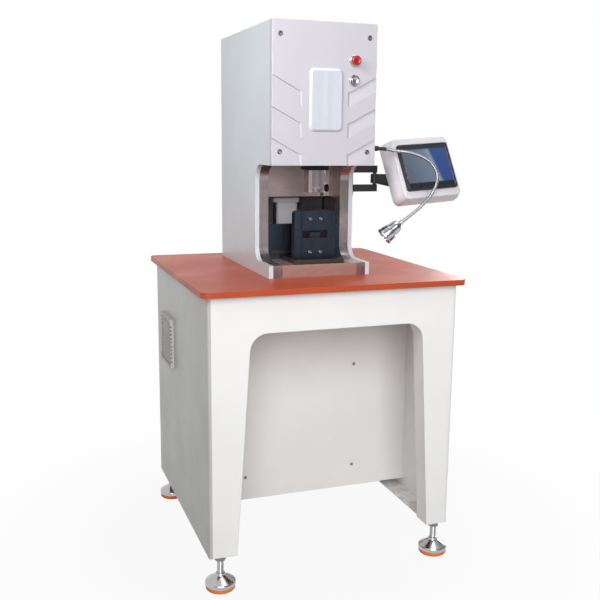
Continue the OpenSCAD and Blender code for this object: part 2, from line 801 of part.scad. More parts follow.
// Screws with round heads: the covers', the cabinet front's, the tool holder's and the base's
module screw_y(size, grip) {
    rod_y([0, -size[2], 0], size[1], size[2]);
    rod_y([0, -over, 0], size[0], grip + over);
}
module screws() color([0.66, 0.67, 0.69]) {
    cover_screw_places() translate([0, counterbore, 0]) screw_y(cover_screw, cover_screw_grip);
    cabinet_screw_places() screw_y(sheet_screw, sheet_screw_grip);
    tool_screw_places() screw_y(tool_screw, tool_screw_grip);
    rear_screw_places() mirror([0, 1, 0]) screw_y(rear_screw, rear_screw_grip);
    base_bolt_places() {
        rod_z([0, 0, -base_bolt[2]], base_bolt[1], base_bolt[2]);
        rod_z([0, 0, -over], base_bolt[0], table_t + base_bolt_grip + over);
    }
}

// Press body: painted C-shaped covers over C-shaped steel frames
function c_outline(back, top, corner) = concat(
    [[head_front, table_h], [back, table_h]], arc([back - corner, top - corner], corner, 0, 90, 4),
    [[head_front, top], [head_front, throat_z]],
    arc([throat_y - throat_top_r, throat_z - throat_top_r], throat_top_r, 90, 0, 10),
    arc([throat_y - throat_low_r, base_z + throat_low_r], throat_low_r, 0, -90, 10),
    [[head_front, base_z]]);
module frame_holes(side) {
    for (z = [throat_z + cover_screw_inset, head_top - cover_screw_inset])
        rod_y([side * cover_screw_x, head_front - over, z], cover_screw[0] + run_gap,
              cover_screw_grip + over);
    for (z = [base_z + rear_screw_inset, frame_top - rear_screw_inset])
        rod_y([side * rear_screw_x, head_back - rear_screw_grip - over, z],
              rear_screw[0] + run_gap, rear_screw_grip + over);
}
module side_cover(x0) color([0.80, 0.81, 0.82])
    along_x(x0, cover_t) polygon(c_outline(head_back, head_top, head_corner_r));
module side_frame(x0) color([0.62, 0.58, 0.56])
    along_x(x0, frame_t) polygon(c_outline(frame_back, frame_top, head_corner_r / 2));
module side_cover_left() side_cover(-head_x);
module side_cover_right() side_cover(frame_x);
module side_frame_left() difference() {
    side_frame(-frame_x);
    frame_holes(-1);
}
module side_frame_right() difference() {
    side_frame(inner_x);
    frame_holes(1);
}

// Front cover with three sloping pockets down each side
pocket_angle = atan(pocket_drop / (head_x - pocket_in_x));
pocket_reach = pocket_band * cos(pocket_angle);
module pocket(z) intersection() {
    block([pocket_in_x, cover_front - front_t, throat_z - over],
          [head_x + over, head_front, head_top]);
    translate([pocket_in_x, cover_front, z - pocket_drop - pocket_band])
        rotate([0, -pocket_angle, 0]) rotate([-asin(pocket_depth / pocket_reach), 0, 0])
            block([-head_x, -front_t, 0], [head_x, 0, pocket_reach]);
}
module pocket_end(z) translate([0, 0, z - pocket_drop - pocket_band]) linear_extrude(pocket_band)
    polygon([[pocket_in_x - pocket_end_size[0] - over, cover_front - over],
             [pocket_in_x + over, cover_front - over],
             [pocket_in_x + over, cover_front + pocket_end_size[1]],
             [pocket_in_x, cover_front + pocket_end_size[1]],
             [pocket_in_x - pocket_end_size[0], cover_front]]);
module front_cover() color([0.85, 0.84, 0.87]) difference() {
    translate([0, 0, throat_z]) linear_extrude(head_h) polygon([
        [-head_x, head_front], [-head_x, cover_front + front_chamfer],
        [front_chamfer - head_x, cover_front], [head_x - front_chamfer, cover_front],
        [head_x, cover_front + front_chamfer], [head_x, head_front]]);
    mirrored_x() for (i = [0:2]) {
        pocket(throat_z + pocket_low_z + i * pocket_pitch);
        pocket_end(throat_z + pocket_low_z + i * pocket_pitch);
    }
    cover_screw_places() {
        rod_y([0, -over, 0], cover_screw[1] + screw_gap, counterbore + over);
        rod_y([0, -over, 0], cover_screw[0] + screw_gap, front_t + 2 * over);
    }
    for (dz = [0, lamp_rise])
        rod_y([control_x, cover_front - over, throat_z + button_z + dz], control_hole_d / 2,
              front_t + 2 * over);
}
module badge_plate() color([0.86, 0.86, 0.89])
    translate([badge_x, cover_front, throat_z + badge_z]) rotate([90, 0, 0])
        linear_extrude(badge_t, scale = [1 - 2 * badge_slope / badge_w, 1 - 2 * badge_slope / badge_h])
            polygon(round_rect(badge_w, badge_h, badge_slope * 2, 5));
module top_cover() color([0.80, 0.81, 0.82])
    block([-frame_x, head_front, frame_top], [frame_x, head_back, head_top]);
module rear_cover() color([0.80, 0.81, 0.82]) difference() {
    block([-frame_x, frame_back, table_h], [frame_x, head_back, frame_top]);
    for (i = [0:7])
        block([-inner_x / 2, frame_back - over, throat_z + i * pocket_band / 2],
              [inner_x / 2, head_back + over, throat_z + i * pocket_band / 2 + fin_d]);
    rear_screw_places() mirror([0, 1, 0])
        rod_y([0, -over, 0], rear_screw[0] + screw_gap, shell_t + 2 * over);
}
module base_plate() color([0.60, 0.56, 0.54]) difference() {
    block([-inner_x, head_front, table_h], [inner_x, frame_back, base_z]);
    base_bolt_places() rod_z([0, 0, 0], base_bolt[0] + run_gap, table_t + base_bolt_grip);
}
module back_plate() color([0.62, 0.58, 0.56])
    block([-inner_x, back_plate_y, window_z],
          [inner_x, back_plate_y + back_plate_t, throat_z + head_floor_t]);
module throat_plate() color([0.12, 0.13, 0.15])
    block([-inner_x, throat_y, base_z],
          [inner_x, throat_y + throat_plate_t, base_z + throat_plate_h]);

// Bolster and tool holder
module bolster() {
    bolster_block();
    clamp_bar();
}
module bolster_block() color([0.55, 0.53, 0.52]) difference() {
    block([-bolster_w / 2, bolster_y, base_z], [bolster_w / 2, bolster_y + bolster_d, bolster_z]);
    for (sx = [-1, 1])
        rod_z([sx * bolster_hole_w / 2, bolster_y + bolster_hole_inset, base_z - over],
              bolster_hole_r, bolster_t + 2 * over);
}
module clamp_bar() color([0.60, 0.60, 0.58])
    block([-inner_x + bar_gap, throat_y - bar_t, base_z + bar_rise],
          [holder_w / 2 - bar_t, throat_y, base_z + bar_rise + bar_h]);
module tool_holder() color([0.13, 0.15, 0.18]) difference() {
    union() {
        translate([0, 0, bolster_z + holder_h / 2]) along_y(holder_y, holder_t)
            polygon(concat(
                arc([holder_w / 2 - holder_r, holder_h / 2 - holder_r], holder_r, 0, 90, 6),
                arc([holder_r - holder_w / 2, holder_h / 2 - holder_r], holder_r, 90, 180, 6),
                [[-holder_w / 2, -holder_h / 2], [holder_w / 2, -holder_h / 2]]));
        block([-holder_back_w / 2, holder_y + holder_t / 2, bolster_z],
              [holder_back_w / 2, holder_back_y, bolster_z + holder_back_h]);
    }
    difference() {
        block([-recess_size[0] / 2, holder_y - over, bolster_z + recess_z],
              [recess_size[0] / 2, holder_y + recess_d, bolster_z + recess_z + recess_size[1]]);
        block([-gauge_size[0] / 2, holder_y - over, bolster_z + recess_z + recess_d],
              [gauge_size[0] / 2, holder_y + 2 * recess_d,
               bolster_z + recess_z + recess_d + gauge_size[1]]);
    }
    tool_screw_places() rod_y([0, -over, 0], tool_screw[0] + screw_gap, tool_screw_grip + over);
}

// Ram with a slot for the tool's head, and its guide in the head's floor
module ram_outline() polygon(concat(
    arc([ram_w / 2 - ram_edge, ram_w / 2 - ram_edge], ram_edge, 0, 90, 1),
    arc([ram_edge - ram_w / 2, ram_w / 2 - ram_edge], ram_edge, 90, 180, 1),
    arc([ram_edge - ram_w / 2, ram_edge - ram_w / 2], ram_edge, 180, 270, 1),
    arc([ram_w / 2 - ram_edge, ram_edge - ram_w / 2], ram_edge, 270, 360, 1)));
module ram() color([0.64, 0.60, 0.60]) difference() {
    translate([0, ram_y, ram_foot]) linear_extrude(ram_l) ram_outline();
    block([-slot_w / 2, ram_y - ram_w, ram_foot + slot_neck_h],
          [slot_w / 2, ram_y + ram_w / 4, ram_foot + slot_neck_h + slot_h]);
    block([-slot_neck_w / 2, ram_y - ram_w, ram_foot - over],
          [slot_neck_w / 2, ram_y + ram_w / 4, ram_foot + slot_neck_h + over]);
    rod_z([0, ram_y, screw_foot - stroke / 2], screw_bore_r, ram_l);
    rod_x([ram_w / 2 - clamp_l, ram_y - ram_w / 4, ram_foot + clamp_screw[1] + over],
          clamp_screw[0] / 2 + screw_gap, ram_w);
    rod_z([tip_x, ram_y - ram_w / 4, ram_foot - over], tip_r / 2 + screw_gap, slot_neck_h);
}
module ram_screws() color([0.10, 0.10, 0.11]) {
    rod_x([ram_w / 2, ram_y - ram_w / 4, ram_foot + clamp_screw[1] + over], clamp_screw[1],
          clamp_screw[0] + over);
    rod_x([ram_w / 2 - clamp_l, ram_y - ram_w / 4, ram_foot + clamp_screw[1] + over],
          clamp_screw[0] / 2, clamp_l + over);
    rod_z([tip_x, ram_y - ram_w / 4, ram_foot - tip_l], tip_r, tip_l);
    rod_z([tip_x, ram_y - ram_w / 4, ram_foot - over], tip_r / 2, slot_neck_h - over);
}
module ram_guide() color([0.20, 0.20, 0.22]) difference() {
    union() {
        block([-inner_x, head_front, throat_z], [inner_x, back_plate_y, throat_z + head_floor_t]);
        block([-guide_out, ram_y - guide_out + over, throat_z],
              [guide_out, ram_y + guide_out, throat_z + head_floor_t + guide_h]);
        block([-collar_w / 2, ram_y - collar_w / 2, throat_z - collar_h],
              [collar_w / 2, ram_y + collar_w / 2, throat_z + over]);
    }
    block([-ram_w / 2 - run_gap, ram_y - ram_w / 2 - run_gap, throat_z - collar_h - over],
          [ram_w / 2 + run_gap, ram_y + ram_w / 2 + run_gap,
           throat_z + head_floor_t + guide_h + over]);
}

// Drive: servo motor, belt and ball screw
module drive_plate() color([0.58, 0.57, 0.57]) difference() {
    block([-inner_x, head_front + drive_front_gap, drive_z], [inner_x, drive_back, drive_top]);
    rod_z([0, ram_y, drive_z - over], bearing_d / 2, drive_plate_t + 2 * over);
    rod_z([0, motor_y, drive_z - over], motor_spigot_r, motor_spigot_t + over);
    rod_z([0, motor_y, drive_z - over], hub_r + over, drive_plate_t + 2 * over);
}
module screw_bearing() color([0.75, 0.76, 0.78]) difference() {
    rod_z([0, ram_y, drive_z], bearing_d / 2, drive_plate_t);
    rod_z([0, ram_y, drive_z - over], screw_d / 2 + run_gap, drive_plate_t + 2 * over);
}
module ball_screw() color([0.74, 0.74, 0.76]) {
    rod_z([0, ram_y, screw_foot], screw_d / 2, belt_top + hub_l + shoulder_t - screw_foot);
    rod_z([0, ram_y, drive_z - shoulder_t - fit_gap], collar_r, shoulder_t);
}
module ball_nut() color([0.70, 0.70, 0.72]) difference() {
    union() {
        rod_z([0, ram_y, ram_top], nut_flange_r, nut_flange_t);
        rod_z([0, ram_y, ram_top + nut_flange_t - nut_l], nut_body_r, nut_l);
    }
    rod_z([0, ram_y, ram_top - nut_l], screw_d / 2 + run_gap, nut_l + nut_flange_t + over);
}
module pulley_profile(bore) polygon([
    [bore, belt_z - hub_l], [hub_r, belt_z - hub_l], [hub_r, belt_z - flange_t - fit_gap],
    [flange_r, belt_z - flange_t - fit_gap], [flange_r, belt_z - fit_gap],
    [pulley_r, belt_z - fit_gap], [pulley_r, belt_top + fit_gap], [flange_r, belt_top + fit_gap],
    [flange_r, belt_top + fit_gap + flange_t], [hub_r, belt_top + fit_gap + flange_t],
    [hub_r, belt_top + hub_l], [bore, belt_top + hub_l]]);
module screw_pulley() color([0.50, 0.51, 0.53]) translate([0, ram_y, 0])
    rotate_extrude($fn = 64) pulley_profile(screw_d / 2);
module motor_pulley() color([0.50, 0.51, 0.53]) translate([0, motor_y, 0]) {
    rotate_extrude($fn = 64) pulley_profile(motor_shaft_d / 2 - over / 2);
    rod_z([0, 0, drive_z - motor_waist], motor_shaft_d / 2, belt_top + hub_l - drive_z + motor_waist);
}
module belt_outline(r) union() {
    translate([0, ram_y]) circle(r = r, $fn = 64);
    translate([0, motor_y]) circle(r = r, $fn = 64);
    translate([-r, ram_y]) square([2 * r, belt_span]);
}
module timing_belt() color([0.09, 0.09, 0.10]) translate([0, 0, belt_z])
    linear_extrude(belt_w) difference() {
        belt_outline(pulley_r + fit_gap + belt_t);
        belt_outline(pulley_r + fit_gap);
    }
module servo_motor() color([0.15, 0.15, 0.16]) difference() {
    union() {
        translate([0, motor_y, drive_z - motor_l]) linear_extrude(motor_l - motor_waist)
            polygon(round_rect(motor_w, motor_w, motor_waist, 4));
        translate([0, motor_y, drive_z - 2 * motor_waist]) linear_extrude(2 * motor_waist)
            square(motor_w, center = true);
        rod_z([0, motor_y, drive_z - motor_waist], motor_spigot_r - screw_gap,
              motor_waist + motor_spigot_t);
        block([-motor_cap_h / 2, motor_y + motor_w / 2 - over, drive_z - motor_l + motor_waist],
              [motor_cap_h / 2, motor_y + motor_w / 2 + motor_waist,
               drive_z - motor_l + motor_waist + motor_cap_h]);
    }
    rod_z([0, motor_y, drive_z - motor_waist - fit_gap], motor_shaft_d / 2 + run_gap,
          motor_waist + motor_spigot_t + over);
}

// Lamp, button and bezels on the front cover
module panel_bezels() color([0.80, 0.81, 0.82])
    for (dz = [0, lamp_rise])
        translate([control_x, cover_front, throat_z + button_z + dz]) difference() {
            union() {
                rod_y([0, -bezel_t, 0], bezel_d / 2, bezel_t);
                rod_y([0, -over / 2, 0], control_hole_d / 2 - screw_gap, front_t);
            }
            rod_y([0, -bezel_t - over, 0], button_r + run_gap,
                  bezel_t + over + 2 * button_travel + fit_gap);
        }
module pilot_lamp() color([0.80, 0.08, 0.12])
    translate([control_x, cover_front, throat_z + button_z + lamp_rise]) rotate([90, 0, 0])
        rotate_extrude($fn = 64) polygon(concat(
            [[0, bezel_t - front_t / 2], [button_r, bezel_t - front_t / 2], [button_r, bezel_t],
             [pilot_d / 2, bezel_t], [pilot_d / 2, bezel_t + pilot_h / 2]],
            [for (a = [15:15:75]) [pilot_d / 2 * cos(a), bezel_t + pilot_h / 2 * (1 + sin(a))]],
            [[0, bezel_t + pilot_h]]));
module start_button() color([0.55, 0.55, 0.58])
    translate([control_x, cover_front, throat_z + button_z])
        rod_y([0, -bezel_t - button_travel - over, 0], button_r, bezel_t + 2 * button_travel + over);

// Electrical boxes behind the window
module control_box() color([0.88, 0.88, 0.90]) {
    translate([box_x + box_w / 2, box_y + box_d / 2, base_z])
        linear_extrude(box_top - base_z) polygon(round_rect(box_w, box_d, box_corner, 6));
    translate([box_x + box_w / 2, box_y + box_d / 2, box_top])
        linear_extrude(box_lid)
            polygon(round_rect(box_w + lid_over * 2, box_d + lid_over * 2, box_corner, 6));
    rod_z([box_x - conduit_gap, box_y - conduit_gap, base_z], conduit_r, box_top - base_z + over);
}
module servo_drive() color([0.10, 0.10, 0.11]) translate([drive_x, drive_y, base_z]) {
    block([0, 0, 0], [drive_size[0], drive_size[1] - fin_d, drive_size[2]]);
    for (i = [0:drive_fins - 1])
        block([i * drive_size[0] / drive_fins, drive_size[1] - 2 * fin_d, 0],
              [(i + 0.4) * drive_size[0] / drive_fins, drive_size[1], drive_size[2]]);
}

// Touch screen on its bracket: local X is right, Y goes into the screen, Z is up its face
module on_screen() translate(screen_at) rotate([0, 0, screen_yaw]) rotate([-screen_tilt, 0, 0])
    rotate([0, -screen_roll, 0]) children();

module screen_bracket() color([0.07, 0.07, 0.08]) {
    block([head_x, post_y - bracket_flange[1] / 2, bracket_low - ear_t],
          [head_x + bracket_flange[0], post_y + bracket_flange[1] / 2, bracket_low + bracket_h + over]);
    for (z = [bracket_low, bracket_low + bracket_h - bracket_bar])
        block([head_x + bracket_flange[0] - over, post_y - bracket_depth / 2, z],
              [head_x + bracket_w, post_y + bracket_depth / 2, z + bracket_bar]);
    rod_z([post_x, post_y, bracket_low + bracket_bar - over], post_d / 2,
          bracket_h - 2 * bracket_bar + 2 * over);
}

function roll_x(v) = [v[0] * cos(screen_roll) - v[2] * sin(screen_roll), v[1],
                      v[0] * sin(screen_roll) + v[2] * cos(screen_roll)];
function tilt_v(v) = [v[0], v[1] * cos(screen_tilt) + v[2] * sin(screen_tilt),
                      v[2] * cos(screen_tilt) - v[1] * sin(screen_tilt)];
function yaw_v(v) = [v[0] * cos(screen_yaw) - v[1] * sin(screen_yaw),
                     v[0] * sin(screen_yaw) + v[1] * cos(screen_yaw), v[2]];
function screen_point(v) = screen_at + yaw_v(tilt_v(roll_x(v)));
tilt_at = screen_point([tilt_x, tilt_back, 0]);
echo(tilt_pivot_mm = tilt_at, tilt_axis = yaw_v(tilt_v(roll_x([1, 0, 0]))));

arm_run = norm([tilt_at[0] - post_x, tilt_at[1] - post_y]);
arm_turn = atan2(tilt_at[1] - post_y, tilt_at[0] - post_x);
ring_z = bracket_low + bracket_h / 2;
tilt_ring_r = tilt_pin_d / 2 + ring_wall;
post_ring_r = post_d / 2 + ring_wall;

module screen_arm() color([0.07, 0.07, 0.08]) difference() {
    union() {
        rod_z([post_x, post_y, ring_z - ring_h / 2], post_ring_r, ring_h);
        translate([post_x, post_y, 0]) rotate([0, 0, arm_turn]) translate([0, arm_t / 2, 0])
            rotate([90, 0, 0]) linear_extrude(arm_t) polygon([
                [0, ring_z - ring_h / 2], [arm_run, tilt_at[2] - arm_low],
                [arm_run, tilt_at[2] + tilt_ring_r], [0, ring_z + ring_h / 2]]);
        on_screen() rod_x([tilt_x - ear_gap / 2, tilt_back, 0], tilt_ring_r, ear_gap);
    }
    rod_z([post_x, post_y, ring_z - ring_h], post_d / 2 + run_gap, ring_h * 2);
    on_screen() {
        rod_x([tilt_x - ear_gap / 2 - over, tilt_back, 0], tilt_pin_d / 2 + run_gap,
              ear_gap + 2 * over);
        for (s = [0, 1]) translate([tilt_x, 0, 0]) mirror([s, 0, 0])
            rod_x([ear_gap / 2, tilt_back, 0], tilt_ring_r + 2 * over, ear_t + fit_gap + over);
        block([tilt_x - arm_clear, tilt_back - arm_clear, -arm_clear],
              [tilt_x + arm_clear, tilt_back - tilt_ring_r, arm_clear]);
    }
}
module screen_housing() color([0.90, 0.91, 0.92]) on_screen() difference() {
    union() {
        translate([-bezel_shift, 0, 0]) {
            along_y(housing_y, screen_depth - housing_edge)
                polygon(round_rect(housing_w, housing_h, screen_corner_r, 8));
            translate([0, housing_y, 0]) rotate([90, 0, 0])
                linear_extrude(housing_edge, scale = [1 - 2 * housing_in[0] / housing_w,
                                                      1 - 2 * housing_in[1] / housing_h])
                    polygon(round_rect(housing_w, housing_h, screen_corner_r, 8));
        }
        for (x = [tilt_x - ear_gap / 2 - fit_gap - ear_t, tilt_x + ear_gap / 2 + fit_gap]) {
            rod_x([x, tilt_back, 0], tilt_ring_r, ear_t);
            block([x, bezel_out + screen_depth - over, -tilt_ring_r],
                  [x + ear_t, tilt_back, tilt_ring_r]);
        }
        rod_x([tilt_x - ear_gap / 2 - over, tilt_back, 0], tilt_pin_d / 2, ear_gap + 2 * over);
    }
    along_y(bezel_out - over, screen_depth - housing_wall + over)
        polygon(round_rect(screen_w, screen_h, bezel_r, 4));
    translate([-bezel_shift, 0, 0]) along_y(bezel_out + housing_wall, screen_depth - 2 * housing_wall)
        polygon(round_rect(housing_w - 2 * (housing_in[0] + housing_wall),
                           housing_h - 2 * (housing_in[1] + housing_wall),
                           screen_corner_r - housing_wall, 8));
    translate([-bezel_shift, 0, 0]) along_y(housing_y, screen_depth - housing_edge - housing_wall)
        polygon(round_rect(housing_w - 2 * housing_wall, housing_h - 2 * housing_wall,
                           screen_corner_r - housing_wall, 8));
}
module screen_panel() color([0.06, 0.06, 0.07]) on_screen() {
    difference() {
        along_y(0, bezel_out + board_gap) polygon(round_rect(
            screen_w - 2 * screw_gap, screen_h - 2 * screw_gap, bezel_r, 4));
        block([-glass_size[0] / 2, -over, -glass_size[1] / 2],
              [glass_size[0] / 2, glass_drop, glass_size[1] / 2]);
    }
    along_y(bezel_out + board_gap - over, board_t + over)
        polygon(round_rect(screen_w - board_t, screen_h - board_t, bezel_r, 4));
}

// Gooseneck lamp: the tube is swept along its route with functions
function bezier_mid(a, b, c, d, t) =
    0.5 * (2 * b + (c - a) * t + (2 * a - 5 * b + 4 * c - d) * t * t
           + (3 * b - a - 3 * c + d) * t * t * t);
function route_point(i) = neck_start + neck_route[max(0, min(len(neck_route) - 1, i))];
neck_path = concat(
    [for (i = [0:len(neck_route) - 2], k = [0:neck_steps - 1])
        bezier_mid(route_point(i - 1), route_point(i), route_point(i + 1), route_point(i + 2),
                   k / neck_steps)],
    [route_point(len(neck_route) - 1)]);
function neck_dir(i) = i == 0 ? [1, 0, 0]
    : i == len(neck_path) - 1 ? unit(lamp_aim)
    : unit(neck_path[i + 1] - neck_path[i - 1]);
function carried(n, d) = unit(n - (n * d) * d);
neck_normals = [for (i = 0, n = [0, 0, 1]; i < len(neck_path);
    i = i + 1, n = i < len(neck_path) ? carried(n, neck_dir(i)) : n) n];
function ring(i) = [for (k = [0:neck_sides - 1])
    neck_path[i] + neck_d / 2 * (cos(360 * k / neck_sides) * neck_normals[i]
        + sin(360 * k / neck_sides) * cross(neck_dir(i), neck_normals[i]))];
module tube() {
    m = neck_sides;
    n = len(neck_path);
    points = [for (i = [0:n - 1]) each ring(i)];
    sides = [for (i = [0:n - 2], k = [0:m - 1])
        let (a = i * m + k, b = i * m + (k + 1) % m)
        each [[a, a + m, b], [b, a + m, b + m]]];
    polyhedron(points, concat(sides, [[for (k = [0:m - 1]) k], [for (k = [m - 1:-1:0]) (n - 1) * m + k]]));
}
module lamp_post() color([0.08, 0.08, 0.09]) difference() {
    union() {
        rod_x([head_x, lamp_y, lamp_z], lamp_flange_r, lamp_flange_t);
        rod_x([head_x, lamp_y, lamp_z], lamp_post_d / 2, lamp_post_l);
    }
    rod_x([head_x + lamp_post_l - ferrule_l - fit_gap, lamp_y, lamp_z], neck_d / 2 + run_gap,
          ferrule_l + fit_gap + over);
}
module gooseneck() color([0.80, 0.81, 0.83]) {
    tube();
    rod_x(neck_start - [ferrule_l, 0, 0], neck_d / 2, ferrule_l + over / 2);
}
lamp_polar = acos(unit(lamp_aim)[2]);
lamp_azimuth = atan2(lamp_aim[1], lamp_aim[0]);
module on_lamp() translate(route_point(len(neck_route) - 1))
    rotate([0, lamp_polar, lamp_azimuth]) children();
function shell(grow) = [
    [lamp_neck_r + grow, lamp_shares[0] * lamp_head_l], [lamp_neck_r + grow, lamp_shares[1] * lamp_head_l],
    [lamp_barrel_r + grow, (lamp_shares[1] + 0.1) * lamp_head_l],
    [lamp_barrel_r + 1.5 * lamp_wall + grow, lamp_shares[2] * lamp_head_l],
    [lamp_mouth_d / 2 + grow, lamp_shares[3] * lamp_head_l], [lamp_mouth_d / 2 + grow, lamp_head_l]];
module lamp_head() color([0.75, 0.76, 0.78]) on_lamp() rotate_extrude($fn = 64) difference() {
    polygon(concat([[0, 0]], shell(0), [[0, lamp_head_l]]));
    polygon(concat([[0, lamp_shares[2] * lamp_head_l]],
                   [[lamp_barrel_r - lamp_wall, lamp_shares[2] * lamp_head_l],
                    [lamp_mouth_d / 2 - lamp_wall, lamp_shares[3] * lamp_head_l],
                    [lamp_mouth_d / 2 - lamp_wall, lamp_head_l + over]], [[0, lamp_head_l + over]]));
}
module lamp_lens() color([0.95, 0.95, 0.90]) on_lamp()
    rod_z([0, 0, lamp_head_l - lens_t - lens_lip], lamp_mouth_d / 2 - lamp_wall - screw_gap / 2, lens_t);

tabletop();
bench_front();
bench_side_left();
bench_side_right();
bench_rear();
cabinet_tray();
mounting_plate();
power_supply();
power_entry();
switch_knob();
louvre_cover();
fan_frame();
fan_rotor();
lock_nuts();
foot_front_left();
foot_front_right();
foot_rear_left();
foot_rear_right();
pad_front_left();
pad_front_right();
pad_rear_left();
pad_rear_right();
screws();
side_cover_left();
side_cover_right();
side_frame_left();
side_frame_right();
front_cover();
badge_plate();
top_cover();
rear_cover();
base_plate();
back_plate();
ram_guide();
drive_plate();
throat_plate();
bolster();
tool_holder();
ram();
ram_screws();
ball_screw();
ball_nut();
screw_bearing();
screw_pulley();
motor_pulley();
timing_belt();
servo_motor();
pilot_lamp();
start_button();
panel_bezels();
control_box();
servo_drive();
screen_bracket();
screen_arm();
screen_housing();
screen_panel();
lamp_post();
gooseneck();
lamp_head();
lamp_lens();
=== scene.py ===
# %% [markdown]
# # A terminal crimping press on its bench
# The machine is a C-shaped press head on a sheet-metal bench. Its solids come from the packed
# model as fixed meshes in metres, so this lesson never has to fit anything: it sets the camera
# and the light, gives every solid a finish, and builds the pieces whose detail the solids leave
# out, such as threads, ribs, lenses and round edges.

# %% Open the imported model
import math

import bmesh
import bpy
from mathutils import Matrix, Vector


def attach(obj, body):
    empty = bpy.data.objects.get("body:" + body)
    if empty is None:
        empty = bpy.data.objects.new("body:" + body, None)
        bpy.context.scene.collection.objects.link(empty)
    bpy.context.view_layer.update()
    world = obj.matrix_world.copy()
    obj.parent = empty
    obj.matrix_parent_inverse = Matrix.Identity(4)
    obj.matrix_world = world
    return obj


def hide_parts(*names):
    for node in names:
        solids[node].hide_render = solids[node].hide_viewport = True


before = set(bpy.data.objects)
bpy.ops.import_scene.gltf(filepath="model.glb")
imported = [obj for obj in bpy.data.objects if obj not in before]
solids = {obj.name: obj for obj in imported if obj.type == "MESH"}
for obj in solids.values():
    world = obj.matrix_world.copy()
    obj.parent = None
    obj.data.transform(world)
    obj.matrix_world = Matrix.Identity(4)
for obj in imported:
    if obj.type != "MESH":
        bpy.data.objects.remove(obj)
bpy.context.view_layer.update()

# %% [markdown]
# ## Camera
# The photograph was taken from the front left, a little above the press. The place and the lens
# were worked out from the bench's straight edges, so they're written as plain numbers: a
# position, a turn about the vertical, a pitch, and a slight roll of the hand.

# %% Camera at the photograph's view
CAMERA_AT = Vector((-0.817, -2.276, 1.149))
CAMERA_TURN, CAMERA_PITCH, CAMERA_ROLL = (math.radians(a) for a in (20.05, 10.72, -0.62))
CAMERA_LENS, SENSOR_WIDTH = 50.568, 36


def camera_axes(turn, pitch, roll):
    """Right, up and backward directions of a camera that looks along +Y turned towards +X."""
    flat = math.cos(pitch)
    ahead = Vector((math.sin(turn) * flat, math.cos(turn) * flat, -math.sin(pitch)))
    level = Vector((math.cos(turn), -math.sin(turn), 0))
    down = ahead.cross(level)
    right = math.cos(roll) * level + math.sin(roll) * down
    return right, right.cross(ahead), -ahead


camera_data = bpy.data.cameras.new("photo_camera")
camera_data.lens, camera_data.sensor_width = CAMERA_LENS, SENSOR_WIDTH
camera_data.clip_start, camera_data.clip_end = 0.05, 60
camera = bpy.data.objects.new("photo_camera", camera_data)
bpy.context.scene.collection.objects.link(camera)
camera.matrix_world = Matrix.Translation(CAMERA_AT) @ Matrix(
    camera_axes(CAMERA_TURN, CAMERA_PITCH, CAMERA_ROLL)).transposed().to_4x4()
bpy.context.scene.camera = camera
print("camera up", [round(v, 3) for v in camera.matrix_world.col[1][:3]])

# %% [markdown]
# ## Colours and nodes
# Colours are noted as a picture shows them, from 0 to 255. Shader nodes work in linear light, so
# one helper turns the first into the second. Another adds a node and fills in its sockets, and
# the rest are the few nodes that come back in nearly every finish. Blender's Mix node has a set
# of sockets for each kind of value, so those for colours go by their numbers.

# %% Helpers for colours and nodes
MIX_SHARE, MIX_FIRST, MIX_SECOND, MIX_RESULT = 0, 6, 7, 2


def shade(red, green, blue):
    """A colour as a picture shows it, turned into linear light with full alpha."""
    linear = [(c / 255 / 12.92 if c <= 10 else ((c / 255 + 0.055) / 1.055) ** 2.4)
              for c in (red, green, blue)]
    return (*linear, 1.0)


def add(tree, kind, settings=(), **sockets):
    """A node with its settings, and values or links on its sockets by name or as i0, i1, i2."""
    node = tree.nodes.new("ShaderNode" + kind)
    for key, value in dict(settings).items():
        setattr(node, key, value)
    for key, value in sockets.items():
        by_number = key[0] == "i" and key[1:].isdigit()
        socket = node.inputs[int(key[1:]) if by_number else key.replace("_", " ")]
        if isinstance(value, bpy.types.NodeSocket):
            tree.links.new(value, socket)
        else:
            socket.default_value = value
    return node


def toned(colour, factor, lift=0.0):
    """A colour made lighter or darker, and kept within range."""
    return (*(min(1.0, c * factor + lift) for c in colour[:3]), 1.0)


def blend_colours(tree, share, first, second):
    """The colour between two others, by a share that may change over the surface."""
    mix = add(tree, "Mix", {"data_type": "RGBA"})
    for number, value in ((MIX_SHARE, share), (MIX_FIRST, first), (MIX_SECOND, second)):
        if isinstance(value, bpy.types.NodeSocket):
            tree.links.new(value, mix.inputs[number])
        else:
            mix.inputs[number].default_value = value
    return mix.outputs[MIX_RESULT]


def ramp(tree, value, low, high, low_to=0.0, high_to=1.0, smooth=True):
    """A value spread from one range to another and clipped to it."""
    node = add(tree, "MapRange", {"interpolation_type": "SMOOTHSTEP" if smooth else "LINEAR"})
    tree.links.new(value, node.inputs[0])
    for i, number in enumerate((low, high, low_to, high_to)):
        node.inputs[i + 1].default_value = number
    return node.outputs[0]


def noise(tree, where, scale, detail, roughness=0.5):
    """The value of a noise at a place; its scale is plain or linked."""
    return add(tree, "TexNoise", Vector=where, Scale=scale, Detail=detail,
               Roughness=roughness).outputs["Fac"]


def times(tree, first, second):
    """The product of two values, plain or linked."""
    return add(tree, "Math", {"operation": "MULTIPLY"}, i0=first, i1=second).outputs[0]


def own_place(tree):
    """The place on a piece's surface, in the piece's own axes."""
    return add(tree, "TexCoord").outputs["Object"]


print("mid grey 119 is", round(shade(119, 119, 119)[0], 3), "in linear light")

# %% [markdown]
# ## Shared effects
# Several finishes here need the same things: the fine waviness of sprayed paint, the streaks of
# ground or brushed metal, edges that catch the light, and a little settled dust. Each is a node
# group with named inputs and outputs, built once. A group only puts out masks, values and
# normals, and the shader itself stays in each material.

